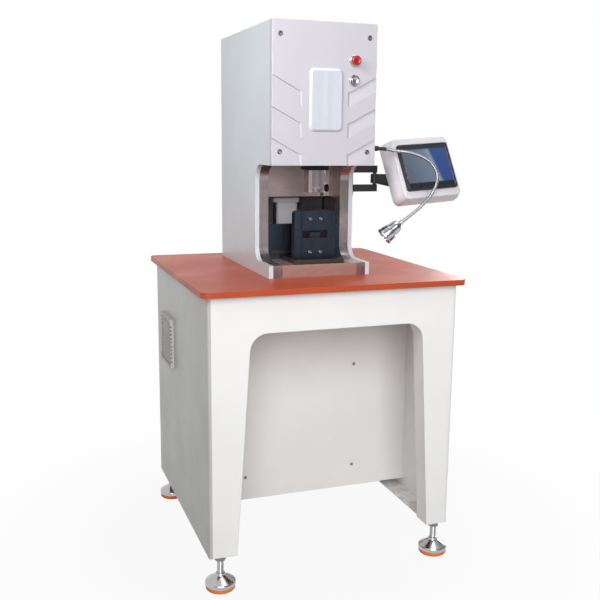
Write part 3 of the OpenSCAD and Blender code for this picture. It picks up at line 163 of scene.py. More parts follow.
# %% A helper for node groups
def effect(name, inputs, outputs):
    """A new node group, with what it is given by name and the sockets it has to fill."""
    group = bpy.data.node_groups.new(name, "ShaderNodeTree")
    for label, value in inputs.items():
        kind = "NodeSocketVector" if isinstance(value, tuple) else "NodeSocketFloat"
        group.interface.new_socket(label, in_out="INPUT", socket_type=kind).default_value = value
    for label, kind in outputs.items():
        group.interface.new_socket(label, in_out="OUTPUT", socket_type="NodeSocket" + kind)
    start = group.nodes.new("NodeGroupInput")
    end = group.nodes.new("NodeGroupOutput")
    return group, start.outputs, end.inputs


def place(tree, group, **sockets):
    """What a shared effect gives in a material's tree with its own values."""
    return add(tree, "Group", {"node_tree": group}, **sockets).outputs


# %% [markdown]
# ### Sprayed paint
# Powder coat and sprayed enamel dry with a faint waviness a millimetre or two across. One noise
# gives that height, and a much larger one a slight change of tone from the dirt and the spray.

# %% Group for sprayed paint
paint_skin, given, result = effect(
    "paint skin", {"Grain": 700.0, "Patch": 6.0}, {"Height": "Float", "Patches": "Float"})
spot = own_place(paint_skin)
paint_skin.links.new(noise(paint_skin, spot, given["Grain"], 2.0), result["Height"])
wide = noise(paint_skin, spot, given["Patch"], 4.0, 0.6)
paint_skin.links.new(ramp(paint_skin, wide, 0.3, 0.7), result["Patches"])
print(paint_skin.name, "has", len(paint_skin.nodes), "nodes")

# %% [markdown]
# ### Ground metal
# A grinding wheel leaves long parallel scratches. A noise stretched some thirty times along one
# direction looks just like them, and a second coarser one gives bands where the wheel bit deeper.

# %% Group for ground metal
ground_grain, given, result = effect(
    "ground grain", {"Stretch": (1.0, 1.0, 40.0), "Grain": 900.0},
    {"Streaks": "Float", "Bands": "Float"})
pulled = add(ground_grain, "VectorMath", {"operation": "DIVIDE"},
             i0=own_place(ground_grain), i1=given["Stretch"]).outputs[0]
streaks = noise(ground_grain, pulled, given["Grain"], 3.0, 0.65)
bands = noise(ground_grain, pulled, times(ground_grain, given["Grain"], 0.06), 3.0, 0.6)
ground_grain.links.new(ramp(ground_grain, streaks, 0.25, 0.75), result["Streaks"])
ground_grain.links.new(ramp(ground_grain, bands, 0.3, 0.7), result["Bands"])
print(ground_grain.name, "has", len(ground_grain.nodes), "nodes")

# %% [markdown]
# ### Edges
# No real edge is perfectly sharp. The Bevel node bends the normal near an edge, so it catches a
# thin line of light without any change to the mesh. Where the bent normal and the true one
# disagree there is an edge, which gives a mask for worn paint and for a painted highlight along it.

# %% Group for edges
edge_wear_and_highlight, given, result = effect(
    "edge wear and painted highlight", {"Width": 0.0015, "Breakup": 60.0}, {"Edge": "Float", "Normal": "Vector"})
bent = add(edge_wear_and_highlight, "Bevel", {"samples": 4}, Radius=given["Width"]).outputs[0]
true_normal = add(edge_wear_and_highlight, "NewGeometry").outputs["Normal"]
alike = add(edge_wear_and_highlight, "VectorMath", {"operation": "DOT_PRODUCT"}, i0=bent, i1=true_normal)
chips = noise(edge_wear_and_highlight, own_place(edge_wear_and_highlight), given["Breakup"], 3.0)
mask = times(edge_wear_and_highlight, ramp(edge_wear_and_highlight, alike.outputs["Value"], 0.98, 0.8),
             ramp(edge_wear_and_highlight, chips, 0.3, 0.6, 0.4, 1.0))
edge_wear_and_highlight.links.new(mask, result["Edge"])
edge_wear_and_highlight.links.new(bent, result["Normal"])
print(edge_wear_and_highlight.name, "has", len(edge_wear_and_highlight.nodes), "nodes")

# %% [markdown]
# ### Dust
# Dust settles on what faces up. The mask is the upward part of the normal, broken by a noise.

# %% Group for dust
settled_dust, given, result = effect("settled dust", {"Breakup": 25.0}, {"Dust": "Float"})
true_normal = add(settled_dust, "NewGeometry").outputs["Normal"]
upward = add(settled_dust, "SeparateXYZ", i0=true_normal).outputs["Z"]
drift = noise(settled_dust, own_place(settled_dust), given["Breakup"], 5.0, 0.7)
dust = times(settled_dust, ramp(settled_dust, upward, 0.3, 1.0),
             ramp(settled_dust, drift, 0.35, 0.75))
settled_dust.links.new(dust, result["Dust"])
print(settled_dust.name, "has", len(settled_dust.nodes), "nodes")

# %% [markdown]
# ## Finishes
# A finish starts as an empty material with one shader. Values that are the same everywhere, such
# as a coat's roughness, are typed straight into the shader's sockets.

# %% Start of a finish
def finish(name, metallic=0.0, roughness=0.5, **sockets):
    """A material with its Principled shader; the further sockets take plain values."""
    made = bpy.data.materials.new(name)
    made.use_nodes = True
    tree = made.node_tree
    shader = tree.nodes["Principled BSDF"]
    shader.inputs["Metallic"].default_value = metallic
    shader.inputs["Roughness"].default_value = roughness
    for key, value in sockets.items():
        shader.inputs[key.replace("_", " ")].default_value = value
    return made, tree, shader


def surface(tree, shader, tone, mask, roughness, height, normal, strength, distance):
    """Join a tone, a roughness that follows a mask, and a bump to a shader."""
    tree.links.new(tone, shader.inputs["Base Color"])
    tree.links.new(ramp(tree, mask, 0.0, 1.0, *roughness, smooth=False), shader.inputs["Roughness"])
    bump = add(tree, "Bump", Strength=strength, Distance=distance, Height=height, Normal=normal)
    tree.links.new(bump.outputs[0], shader.inputs["Normal"])


def made_so_far(word):
    """Say how many finishes there are by now."""
    print(word, "added, finishes so far:", len(bpy.data.materials))


print("finishes before the first coat:", len(bpy.data.materials))

# %% [markdown]
# ### Sprayed finishes
# The bench, the press covers, the table top and the black brackets are all painted steel. They
# differ in colour, gloss and waviness, so one function makes them from those values. The edge
# mask lightens the paint along corners, partly where it wears thin and partly as a painted
# highlight.
#
# The bench has three coats. Its front is a clean near-white. The right side has the same coat
# under more dust on what faces up, and the left side is a greyer one: the same white paint made
# darker, which is painted shade on that side.

# %% Painted steel
DUST_TONE = shade(205, 200, 192)


def painted(name, colour, roughness, wave=0.05, patchy=0.03, grain=700.0, edge=0.02, dusty=0.0,
            **sockets):
    """Sprayed paint: waviness, slight patches, edges lightened by wear and a painted highlight, and
    a little dust.
    """
    made, tree, shader = finish(name, roughness=roughness, **sockets)
    skin = place(tree, paint_skin, Grain=grain)
    rim = place(tree, edge_wear_and_highlight, Width=0.0015)
    tone = blend_colours(tree, skin["Patches"], toned(colour, 1 - 2 * patchy), colour)
    # Lighter edges: partly wear, partly a painted highlight.
    tone = blend_colours(tree, rim["Edge"], tone, toned(colour, 1 + edge, 0.02 * edge))
    if dusty:
        film = place(tree, settled_dust)
        tone = blend_colours(tree, times(tree, film["Dust"], dusty), tone, DUST_TONE)
    surface(tree, shader, tone, skin["Patches"], (roughness * 1.12, roughness * 0.92),
            skin["Height"], rim["Normal"], strength=wave * 5, distance=0.0004)
    return made


bench_white = painted("bench powder coat", shade(242, 241, 240), 0.3, patchy=0.015, dusty=0.45)
dusty_white = painted("bench flange coat", shade(242, 241, 240), 0.3, patchy=0.015, dusty=1.3)
# The left side's greyer coat is painted shade: the bench's white paint, made darker.
painted_shade_side_white = painted("bench side powder coat with painted shade", shade(195, 194, 190), 0.3)
cabinet_white = painted("cabinet powder coat", shade(240, 237, 235), 0.45, patchy=0.02, dusty=0.05)
press_grey = painted("press side enamel", shade(208, 214, 219), 0.32,
                     wave=0.03, patchy=0.015, edge=0.04)
front_silver = painted("press front enamel", shade(196, 193, 201), 0.34,
                       patchy=0.015, grain=900.0, edge=0.05)
table_orange = painted("table enamel", shade(187, 78, 42), 0.38,
                       wave=0.03, patchy=0.05, edge=0.35, Specular_IOR_Level=0.32)
bracket_black = painted("bracket enamel", shade(34, 34, 38), 0.4, wave=0.04, edge=0.8)
motor_black = painted("motor enamel", shade(38, 38, 42), 0.45, edge=0.5)
vent_grey = painted("vent enamel", shade(200, 196, 192), 0.45, wave=0.04, edge=0.05, dusty=0.15)
made_so_far("paints")

# %% [markdown]
# ### Ground and turned metal
# The press frames, the ram and the base are ground steel with a warm cast, the bolts and plates
# are zinc plated. On the base the warm pink cast is a painted reflection of the orange table. The
# streaks change the tone and the roughness, and give the bump, so a highlight breaks up along the
# grain. Most are fully metallic. The frames, the back plate, the base and the badge are less so: a
# film of oil, dust or lacquer scatters part of the light.

# %% Ground steel
UPRIGHT, LENGTHWISE, EVEN = (1.0, 1.0, 30.0), (30.0, 1.0, 1.0), (1.0, 1.0, 1.0)


def ground(name, colour, roughness, stretch, grain=900.0, contrast=0.25, bite=0.25, edge=0.5,
           metallic=1.0):
    """Metal with parallel grinding marks, bands of tone, and edges brightened by wear and a painted
    highlight.
    """
    made, tree, shader = finish(name, metallic=metallic, roughness=roughness)
    marks = place(tree, ground_grain, Stretch=stretch, Grain=grain)
    rim = place(tree, edge_wear_and_highlight, Width=0.0008)
    tone = blend_colours(tree, marks["Streaks"], toned(colour, 1 - contrast),
                         toned(colour, 1 + contrast))
    tone = blend_colours(tree, marks["Bands"], tone, colour)
    # Brighter edges: partly wear, partly a painted highlight.
    tone = blend_colours(tree, rim["Edge"], tone, toned(colour, 1 + edge))
    surface(tree, shader, tone, marks["Bands"], (roughness * 1.2, roughness * 0.85),
            marks["Streaks"], rim["Normal"], strength=bite, distance=0.0001)
    return made


frame_steel = ground("ground frame steel", shade(158, 146, 146), 0.27, UPRIGHT, metallic=0.85)
# Its warm pink tone is a painted reflection of the orange table top.
reflection_tinted_flat_steel = ground("ground flat steel, painted table reflection", shade(184, 146, 138), 0.3, LENGTHWISE, metallic=0.55)
dark_flat = ground("oiled flat steel", shade(88, 80, 76), 0.3, LENGTHWISE)
back_steel = ground("milled back steel", shade(174, 156, 152), 0.42, (24.0, 1.0, 1.0),
                    grain=500.0, contrast=0.2, metallic=0.75)
ram_steel = ground("ground ram steel", shade(168, 154, 156), 0.26, UPRIGHT)
tool_steel = ground("blackened tool steel", shade(54, 62, 72), 0.38, (1.0, 1.0, 8.0),
                    contrast=0.35, edge=1.2)
zinc = ground("zinc plate", shade(190, 192, 196), 0.3, (6.0, 6.0, 6.0), grain=400.0, contrast=0.1)
bright_steel = ground("turned steel", shade(196, 196, 200), 0.22, EVEN, grain=600.0, contrast=0.1)
badge_metal = ground("satin badge metal", shade(206, 210, 220), 0.36, (1.0, 1.0, 25.0),
                     contrast=0.03, bite=0.08, edge=0.1, metallic=0.25)
guide_black = ground("black oxide", shade(40, 38, 40), 0.35, (1.0, 1.0, 6.0),
                     contrast=0.15, edge=1.0)
screw_steel = ground("screw steel", shade(128, 128, 134), 0.3, EVEN, grain=500.0, contrast=0.15)
made_so_far("metals")

# %% [markdown]
# ### Chrome
# Chrome is smooth metal with a faint haze of fingerprints in its roughness.

# %% Chrome
def chromed(name, colour, roughness):
    """Polished metal whose roughness changes a little, as handled chrome's does."""
    made, tree, shader = finish(name, metallic=1.0, roughness=roughness)
    skin = place(tree, paint_skin, Grain=1500.0, Patch=40.0)
    rim = place(tree, edge_wear_and_highlight, Width=0.0006)
    tone = blend_colours(tree, skin["Patches"], toned(colour, 0.93), colour)
    surface(tree, shader, tone, skin["Patches"], (roughness * 1.5, roughness * 0.7),
            skin["Height"], rim["Normal"], strength=0.05, distance=0.0001)
    return made


chrome = chromed("polished chrome", shade(186, 186, 192), 0.12)
foot_chrome = chromed("plated foot", shade(186, 184, 184), 0.18)
hose_chrome = chromed("hose plate", shade(150, 150, 156), 0.22)
made_so_far("chromes")

# %% [markdown]
# ### Rubber and plastic
# Rubber is matt with a fine grain. Moulded plastic has a soft sheen and a very fine spark
# texture. The polished ones also get a clear coat.

# %% Rubber and moulded plastic
def moulded(name, colour, roughness, spark=0.15, **sockets):
    """Rubber or plastic from a mould, with a fine spark texture and a slight mottle."""
    made, tree, shader = finish(name, roughness=roughness, **sockets)
    skin = place(tree, paint_skin, Grain=1200.0, Patch=18.0)
    rim = place(tree, edge_wear_and_highlight, Width=0.0008)
    tone = blend_colours(tree, skin["Patches"], toned(colour, 0.95), colour)
    surface(tree, shader, tone, skin["Patches"], (roughness * 1.1, roughness * 0.9),
            skin["Height"], rim["Normal"], strength=spark, distance=0.0002)
    return made


foot_rubber = moulded("orange foot rubber", shade(238, 120, 32), 0.55, spark=0.3)
belt_rubber = moulded("belt rubber", shade(30, 30, 33), 0.7, spark=0.4)
black_plastic = moulded("black plastic", shade(30, 31, 36), 0.4)
box_grey = moulded("light grey plastic", shade(236, 233, 240), 0.4, spark=0.08)
screen_white = moulded("screen housing plastic", shade(216, 213, 218), 0.3,
                       spark=0.06, Coat_Weight=0.25)
cap_grey = moulded("button cap", shade(190, 188, 196), 0.35, spark=0.05)
drive_black = moulded("drive case", shade(22, 23, 26), 0.5)
red_plastic = moulded("red lens plastic", shade(172, 12, 36), 0.18, spark=0.02, Coat_Weight=0.6)
made_so_far("mouldings")

# %% [markdown]
# ### The lamp's lens
# The lens is clear plastic. Most of the light passes through it, and a thin ripple in the bump
# stands for its moulded rings.

# %% Lamp lens
lens_clear, tree, shader = finish("clear lens", roughness=0.08, Transmission_Weight=0.85, IOR=1.46)
skin = place(tree, paint_skin, Grain=260.0, Patch=30.0)
tone = blend_colours(tree, skin["Patches"], shade(225, 228, 232), shade(245, 246, 248))
tree.links.new(tone, shader.inputs["Base Color"])
ripple = add(tree, "Bump", Strength=0.2, Distance=0.0005, Height=skin["Height"])
tree.links.new(ripple.outputs[0], shader.inputs["Normal"])
made_so_far("lens")

# %% [markdown]
# ## Finishes on the solids
# Every solid whose shape is right keeps its mesh and only gets a finish. The table lists them by
# finish, and a check makes sure that none was forgotten.

# %% Give each solid its finish
wears = {
    table_orange: ["tabletop"],
    bench_white: ["bench_front", "bench_rear"],
    dusty_white: ["bench_side_right"],
    painted_shade_side_white: ["bench_side_left"],
    cabinet_white: ["cabinet_tray"],
    vent_grey: ["louvre_cover"],
    press_grey: ["side_cover_left", "side_cover_right", "top_cover", "rear_cover"],
    front_silver: ["front_cover"],
    badge_metal: ["badge_plate"],
    frame_steel: ["side_frame_left", "side_frame_right"],
    reflection_tinted_flat_steel: ["base_plate", "drive_plate"],
    dark_flat: ["bolster"],
    back_steel: ["back_plate"],
    ram_steel: ["ram"],
    tool_steel: ["tool_holder", "throat_plate"],
    guide_black: ["ram_guide", "ram_screws"],
    zinc: ["mounting_plate", "power_supply", "screws", "lock_nuts"],
    bright_steel: ["ball_screw", "ball_nut", "screw_bearing", "screw_pulley", "motor_pulley"],
    bracket_black: ["screen_bracket", "screen_arm", "lamp_post"],
    motor_black: ["servo_motor"],
    chrome: ["gooseneck", "lamp_head", "panel_bezels"],
    foot_chrome: ["foot_front_left", "foot_front_right", "foot_rear_left", "foot_rear_right"],
    foot_rubber: ["pad_front_left", "pad_front_right", "pad_rear_left", "pad_rear_right"],
    belt_rubber: ["timing_belt"],
    black_plastic: ["power_entry", "fan_frame", "fan_rotor", "screen_panel"],
    drive_black: ["servo_drive"],
    box_grey: ["control_box"],
    cap_grey: ["start_button"],
    screen_white: ["screen_housing"],
    red_plastic: ["pilot_lamp", "switch_knob"],
    lens_clear: ["lamp_lens"],
}
for material, names in wears.items():
    for name in names:
        for material_slot in solids[name].material_slots:
            material_slot.material = material
dressed = [name for names in wears.values() for name in names]
assert sorted(dressed) == sorted(solids), set(solids) ^ set(dressed)
print("solids with a finish:", len(dressed))

# %% [markdown]
# ## Tools for the detailed pieces
# The small pieces are nearly all rings of points joined by faces: a turned knob is circles of
# changing radius, a hexagon socket is a circle that becomes a hexagon, and a screen housing is a
# rounded rectangle that shrinks. So one function joins rings, and the others only place them.
# Sizes below are in millimetres, as on a workshop drawing.

# %% Rings and skins
MM = Matrix.Scale(0.001, 4)
AROUND_SMALL, AROUND_TURNED, AROUND_LENS = 48, 64, 96


def skinned(rings, place_at=MM, close_first=True, close_last=True):
    """Points and faces that join rings of equally many points, with their place."""
    count = len(rings[0])
    points = [tuple(p) for ring in rings for p in ring]
    faces = []
    for low in range(0, count * (len(rings) - 1), count):
        high = low + count
        for k in range(count):
            beside = (k + 1) % count
            faces.append((low + k, low + beside, high + beside, high + k))
    if close_first:
        faces.append(tuple(reversed(range(count))))
    if close_last:
        faces.append(tuple(range((len(rings) - 1) * count, len(rings) * count)))
    return points, faces, place_at


def around(count):
    """The angles of a full turn in equal steps."""
    return [2 * math.pi * k / count for k in range(count)]


def ring_of(radius_at, height, count):
    """A level ring of points about Z, with a radius for each angle."""
    return [(radius_at(a) * math.cos(a), radius_at(a) * math.sin(a), height)
            for a in around(count)]


def circle(radius, height, count=AROUND_SMALL):
    """A plain ring."""
    return ring_of(lambda a: radius, height, count)


def hexagon(flats, height):
    """A hexagon of a width across flats, with as many points as a small circle."""
    return ring_of(lambda a: flats / 2 / math.cos(a % (math.pi / 3) - math.pi / 6),
                   height, AROUND_SMALL)


def eased(line, radius, steps):
    """A line of points whose corners are rounded, as on a turned or moulded edge."""
    line = [Vector(p) for p in line]
    out = [line[0]]
    for a, b, c in zip(line, line[1:], line[2:]):
        reach = min(radius, (b - a).length * 0.45, (c - b).length * 0.45)
        first = b + (a - b).normalized() * reach
        last = b + (c - b).normalized() * reach
        for i in range(steps + 1):
            t = i / steps
            out.append((1 - t) ** 2 * first + 2 * t * (1 - t) * b + t * t * last)
    return out + [line[-1]]


def lathe(profile, count=AROUND_SMALL):
    """Rings of a profile of (radius, height) turned about Z."""
    return [circle(max(r, 0.01), z, count) for r, z in profile]


def turned(profile, soft, steps, place_at, closed=True):
    """A turned shape whose profile has eased corners, with its place."""
    rings = lathe(eased(profile, soft, steps), AROUND_TURNED)
    return skinned(rings, place_at, closed, closed)


print("a hexagon socket has", len(hexagon(5, 0)), "points")

# %% [markdown]
# A piece is placed by a matrix that also turns millimetres into metres. Then it gets its finish
# and the body that it rides on.

# %% Place a piece
FORWARD = (0, -1, 0)


def stand(at, ahead=(0, 0, 1)):
    """A place in millimetres, with local Z along a direction and local X near the world's."""
    z = Vector(ahead).normalized()
    y = z.cross(Vector((1, 0, 0))).normalized()
    x = y.cross(z)
    turn = Matrix((x, y, z)).transposed().to_4x4()
    return Matrix.Translation(Vector(at) / 1000) @ turn @ MM


def piece(name, points, faces, place_at, material, body, slot, crease=35):
    """A mesh in metres, smooth but for its sharp edges, that rides on a body."""
    mesh = bpy.data.meshes.new(name)
    mesh.from_pydata(points, [], faces)
    mesh.transform(place_at)
    work = bmesh.new()
    work.from_mesh(mesh)
    bmesh.ops.recalc_face_normals(work, faces=work.faces)
    work.to_mesh(mesh)
    work.free()
    mesh.shade_smooth()
    mesh.set_sharp_from_angle(angle=math.radians(crease))
    mesh.materials.append(material)
    made = bpy.data.objects.new(name, mesh)
    bpy.context.scene.collection.objects.link(made)
    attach(made, body)
    return made


def joined(name, parts, material, body, slot, crease=35):
    """Several sets of points and faces, each with its own place, as one mesh in metres."""
    points, faces = [], []
    for part_points, part_faces, place_at in parts:
        start = len(points)
        points += [tuple(place_at @ Vector(p)) for p in part_points]
        faces += [tuple(i + start for i in face) for face in part_faces]
    return piece(name, points, faces, Matrix.Identity(4), material, body, slot, crease)


print("one millimetre is", round(MM[0][0], 4), "metres")

# %% [markdown]
# ## Fasteners
# The real screws are socket heads: a turned head with a soft edge and a hexagon socket. The
# solids show plain discs. The same rings serve all sizes, and the heads sit exactly on the
# places of the solid ones: four in the front cover's counterbores, four on the cabinet, four on
# the tool holder, four on the rear cover and four bolts under the table top.

# %% Socket heads
def socket_head(radius, height, key, domed=0.0):
    """Rings of a screw head that stands up from z = 0, with a hexagon socket in its top."""
    side = [(radius * 0.97, 0), (radius, 0.4), (radius, height * (1 - domed) - 0.6),
            (radius - 0.7, height * (1 - domed * 0.4)), (max(key * 0.66, radius * 0.55), height)]
    rings = lathe(eased(side, 0.5, 2))
    rings += [circle(key * 0.62, height), hexagon(key, height - 0.35), hexagon(key, height * 0.45)]
    return rings + [circle(0.05, height * 0.4)]


COUNTERBORE_Y, CABINET_Y, HOLDER_Y, REAR_Y, TABLE_UNDER = -201, -50, -150, 287, 775
BACKWARD, DOWN = (0, 1, 0), (0, 0, -1)
COVER_HEAD, HOLDER_HEAD, TABLE_HEAD = (6.3, 7.6, 6.0), (5.0, 5.6, 4.0), (9.0, 11.6, 10.0)
BUTTON_HEAD = (4.75, 2.5, 3.0, 0.6)
screw_spots = []
for side in (-1, 1):
    screw_spots += [((side * 122, COUNTERBORE_Y, z), FORWARD, COVER_HEAD) for z in (1120, 1410)]
    screw_spots += [((side * 168, CABINET_Y, z), FORWARD, BUTTON_HEAD) for z in (183, 498)]
    screw_spots += [((side * 15, HOLDER_Y, z), FORWARD, HOLDER_HEAD) for z in (852, 942)]
    screw_spots += [((side * 119, REAR_Y, z), BACKWARD, BUTTON_HEAD) for z in (869, 1390)]
    screw_spots += [((side * 78, y, TABLE_UNDER), DOWN, TABLE_HEAD) for y in (-132, 227)]
fasteners = joined("fastener_heads", [
    skinned(socket_head(*size), stand(at, out)) for at, out, size in screw_spots],
    screw_steel, "frame", "zinc_plate")
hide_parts("screws")
print("fastener heads:", len(screw_spots))

# %% [markdown]
# The tool holder also carries a grid of small blackened screws, nearly flush with its face. One
# place of the grid is empty. Nothing in the motion depends on them, so they only exist here.

# %% Small screws on the tool holder
SMALL_HEAD, EMPTY_PLACE = (3.1, 1.0, 2.8), (34, 884)
small_spots = [(x, z) for x in (-48.5, -25, 34, 53.5) for z in (853, 884, 916, 945)
               if (x, z) != EMPTY_PLACE]
joined("holder_small_screws", [
    skinned(socket_head(*SMALL_HEAD), stand((x, HOLDER_Y, z), FORWARD)) for x, z in small_spots],
    tool_steel, "frame", "black_steel")
print("small screws:", len(small_spots))

# %% [markdown]
# ## Lock nuts
# A hexagon nut has its corners turned off at both faces. That curved chamfer comes from cutting
# each hexagon corner down in proportion to how far it reaches beyond the flats.

# %% Chamfered nuts
def nut(flats, height, bore, ease=0.6):
    """Rings of a nut with turned corners and a bore."""
    def chamfered(z, sign):
        ring = []
        for x, y, _ in hexagon(flats, 0):
            beyond = math.hypot(x, y) - flats / 2
            ring.append((x, y, z - sign * beyond * 0.55))
        return ring

    face = flats / 2 - 0.3
    return [circle(bore, ease), circle(bore + ease, 0), circle(face, 0), chamfered(0, -1),
            chamfered(height, 1), circle(face, height), circle(bore + ease, height),
            circle(bore, height - ease), circle(bore, ease)]


FOOT_X, FOOT_Y, NUT_Z = 311, 308, 80
corners = {"front_left": (-1, -1), "front_right": (1, -1),
           "rear_left": (-1, 1), "rear_right": (1, 1)}
nuts = joined("lock_nut_set", [
    skinned(nut(27, 12, 9.06), stand((sx * FOOT_X, sy * FOOT_Y, NUT_Z)), False, False)
    for sx, sy in corners.values()], screw_steel, "frame", "zinc_plate")
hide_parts("lock_nuts")
print("faces on the nuts:", len(nuts.data.polygons))

# %% [markdown]
# ## Levelling feet
# Each foot is a plated bell with a low cone, a rounded hub and a threaded stud, on an orange
# rubber pad. The thread is a true helix: the radius follows a triangle wave whose phase
# turns once per pitch, so no ring is plain and the highlights wind round the stud.

# %% Threads
def thread(radius, depth, pitch, low, high, count=32, per_pitch=6):
    """Rings of a screw thread between two heights."""
    steps = max(2, round((high - low) / pitch * per_pitch))
    rings = []
    for i in range(steps + 1):
        z = low + (high - low) * i / steps
        fade = min(1.0, (z - low) / pitch, (high - z) / pitch)
        ring = []
        for k, angle in enumerate(around(count)):
            phase = (z / pitch - k / count) % 1
            r = radius - depth * fade * abs(2 * phase - 1)
            ring.append((r * math.cos(angle), r * math.sin(angle), z))
        rings.append(ring)
    return rings


stud = thread(9.0, 0.45, 2.0, 45.4, 126)
print("rings on a stud:", len(stud))

# %% [markdown]
# The bell and the pad are turned profiles, each a list of radius and height. The pad's rim leans
# outwards, and the bell covers it with a straight skirt.

# %% Bells, studs and pads
PAD_TOP = 11.5
bell = eased([(0.01, 0), (38.4, 0), (40, 1.4), (40, 9.4), (38.6, 12.0), (15.5, 26.2), (13.4, 27.4),
              (12.4, 29.2), (12.4, 31.6), (11.4, 33.0), (9.2, 34.0), (0.01, 34.0)], 1.6, 4)
bell = [(r, z + PAD_TOP) for r, z in (tuple(p) for p in bell)]
pad = [(0.01, 0), (35.4, 0), (38.5, 3.4), (38.5, PAD_TOP), (0.01, PAD_TOP)]
for corner, (sx, sy) in corners.items():
    at = stand((sx * FOOT_X, sy * FOOT_Y, 0))
    foot = joined("bell_" + corner, [skinned(lathe(bell, AROUND_TURNED), at), skinned(stud, at)],
                  foot_chrome, "leveller_" + corner, "chrome_metal")
    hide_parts("foot_" + corner)
    sole = joined("sole_" + corner, [turned(pad, 1.6, 3, at)],
                  foot_rubber, "leveller_" + corner, "foot_rubber")
    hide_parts("pad_" + corner)
print("feet:", len(corners), "with", len(foot.data.polygons), "faces each")

# %% [markdown]
# ## Box behind the window
# Through the window stands a pale plastic box under a wider lid, with a dark conduit beside it.
# The solid is one node in one colour, so three pieces replace it: the body with round edges, the
# lid, whose lower edge throws a shadow line, and the conduit with its ribs.

# %% Box, lid and conduit
QUADRANTS = ((1, 1, 0), (-1, 1, 90), (-1, -1, 180), (1, -1, 270))


def rounded(width, height, corner, per_corner):
    """Points on the edge of a rounded rectangle, measured from its middle."""
    reach_x, reach_y = width / 2 - corner, height / 2 - corner
    edge = []
    for sx, sy, start in QUADRANTS:
        for i in range(per_corner + 1):
            angle = math.radians(start + 90 * i / per_corner)
            edge.append((sx * reach_x + corner * math.cos(angle),
                         sy * reach_y + corner * math.sin(angle)))
    return edge


def upright(x0, x1, y0, y1, corner, levels):
    """A box with round corners, at heights with an inset each, with its place."""
    middle_x, middle_y = (x0 + x1) / 2, (y0 + y1) / 2
    rings = []
    for z, inset in levels:
        edge = rounded(x1 - x0 - 2 * inset, y1 - y0 - 2 * inset,
                       max(corner - inset, 0.4), per_corner=6)
        rings.append([(middle_x + x, middle_y + y, z) for x, y in edge])
    return skinned(rings)


BOX_LEFT, BOX_RIGHT, BOX_FRONT, BOX_BACK, BASE_Z, BOX_TOP = -19, 49, 120, 230, 824, 968
LID_OUT, BOX_CORNER, CONDUIT_OUT = 17, 10, 11
box_levels = [(BASE_Z, 0), (BOX_TOP, 0)]
lid_levels = [(BOX_TOP, 1.0), (BOX_TOP + 1, 0), (BOX_TOP + 11.5, 0), (BOX_TOP + 13, 0.8),
              (BOX_TOP + 14, 2.5)]
joined("box_body", [upright(BOX_LEFT, BOX_RIGHT, BOX_FRONT, BOX_BACK, BOX_CORNER, box_levels)],
       box_grey, "frame", "white_plastic")
box_lid = joined("box_lid", [upright(BOX_LEFT - LID_OUT, BOX_RIGHT + LID_OUT, BOX_FRONT - LID_OUT,
                                     BOX_BACK + LID_OUT, BOX_CORNER, lid_levels)],
                 box_grey, "frame", "white_plastic")
CONDUIT_RADIUS, CONDUIT_GROOVE, CONDUIT_STEP = 5.0, 0.7, 2.0
conduit_rings = [circle(CONDUIT_RADIUS - CONDUIT_GROOVE * (i % 2), i * CONDUIT_STEP, 20)
                 for i in range(round((BOX_TOP - BASE_Z) / CONDUIT_STEP) + 1)]
conduit_at = stand((BOX_LEFT - CONDUIT_OUT, BOX_FRONT - CONDUIT_OUT, BASE_Z))
joined("box_conduit", [skinned(conduit_rings, conduit_at)], belt_rubber, "frame", "black_plastic")
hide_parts("control_box")
print("box lid faces:", len(box_lid.data.polygons))

# %% [markdown]
# ## Recess in the tool holder
# The recess in the holder's face is dark, with a raised gauge block. A thin blackened liner of
# three shallow frames with four small teeth lines it; its black is partly the oxide and partly
# painted shade of the pocket. A narrow strip left of it marks the seam in the holder's face.

# %% Recess liner
def framed(x0, x1, z0, z1, levels):
    """A rectangle facing the front, at depths with an inset each, with its place."""
    rings = [[(x0 + i, y, z0 + i), (x1 - i, y, z0 + i), (x1 - i, y, z1 - i), (x0 + i, y, z1 - i)]
             for y, i in levels]
    return skinned(rings)


FRAME_LEVELS = [(-145.2, 0), (-146.6, 0), (-146.6, 1.2), (-145.6, 1.2)]
TOOTH_LEVELS = [(-145.4, 0), (-148.2, 0), (-148.6, 0.4)]
SEAM_LEVELS = [(-149.8, 0), (-150.25, 0), (-150.25, 0.3)]
liner_and_shade_parts = [framed(*edges, FRAME_LEVELS) for edges in (
    (-35.8, -15.2, 890.2, 909.8), (15.2, 35.8, 890.2, 909.8), (-15.0, 15.0, 905.2, 909.8))]
for i in range(4):
    x = -26 + i * 4.2
    liner_and_shade_parts.append(framed(x, x + 2.0, 894, 906, TOOTH_LEVELS))
liner_and_shade_parts.append(framed(-39.6, -38.4, 838, 961, SEAM_LEVELS))
# The black liner is partly painted shade in the pocket.
joined("recess_liner_and_painted_shade", liner_and_shade_parts, guide_black, "frame", "black_steel")
print("recess liner parts:", len(liner_and_shade_parts))

# %% [markdown]
# ## Pilot lamp and button
# Both sit in polished bezels on the front cover. The lamp is a red moulded lens with a ribbed
# side and a dished front, the button a turned metal cap whose face is slightly hollow, so it
# gathers a bright crescent on one side.

# %% Bezels
CONTROL_X, COVER_FRONT, BUTTON_Z, LAMP_Z = 80, -210, 1302, 1352
bezel = [(10.4, -3), (10.4, 3.0), (11.4, 4.0), (13.0, 4.0), (15.0, 2.2), (15.0, 0)]
LAMP_PLACE, BUTTON_PLACE = (stand((CONTROL_X, COVER_FRONT, z), FORWARD) for z in (LAMP_Z, BUTTON_Z))
bezels = joined("control_bezels", [turned(bezel, 0.6, 3, at, closed=False)
                                   for at in (BUTTON_PLACE, LAMP_PLACE)],
                chrome, "frame", "chrome_metal")
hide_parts("panel_bezels")
print("bezel faces:", len(bezels.data.polygons))

# %% [markdown]
# The pilot lamp's side has 24 ribs: the radius follows a cosine wave round the lens.

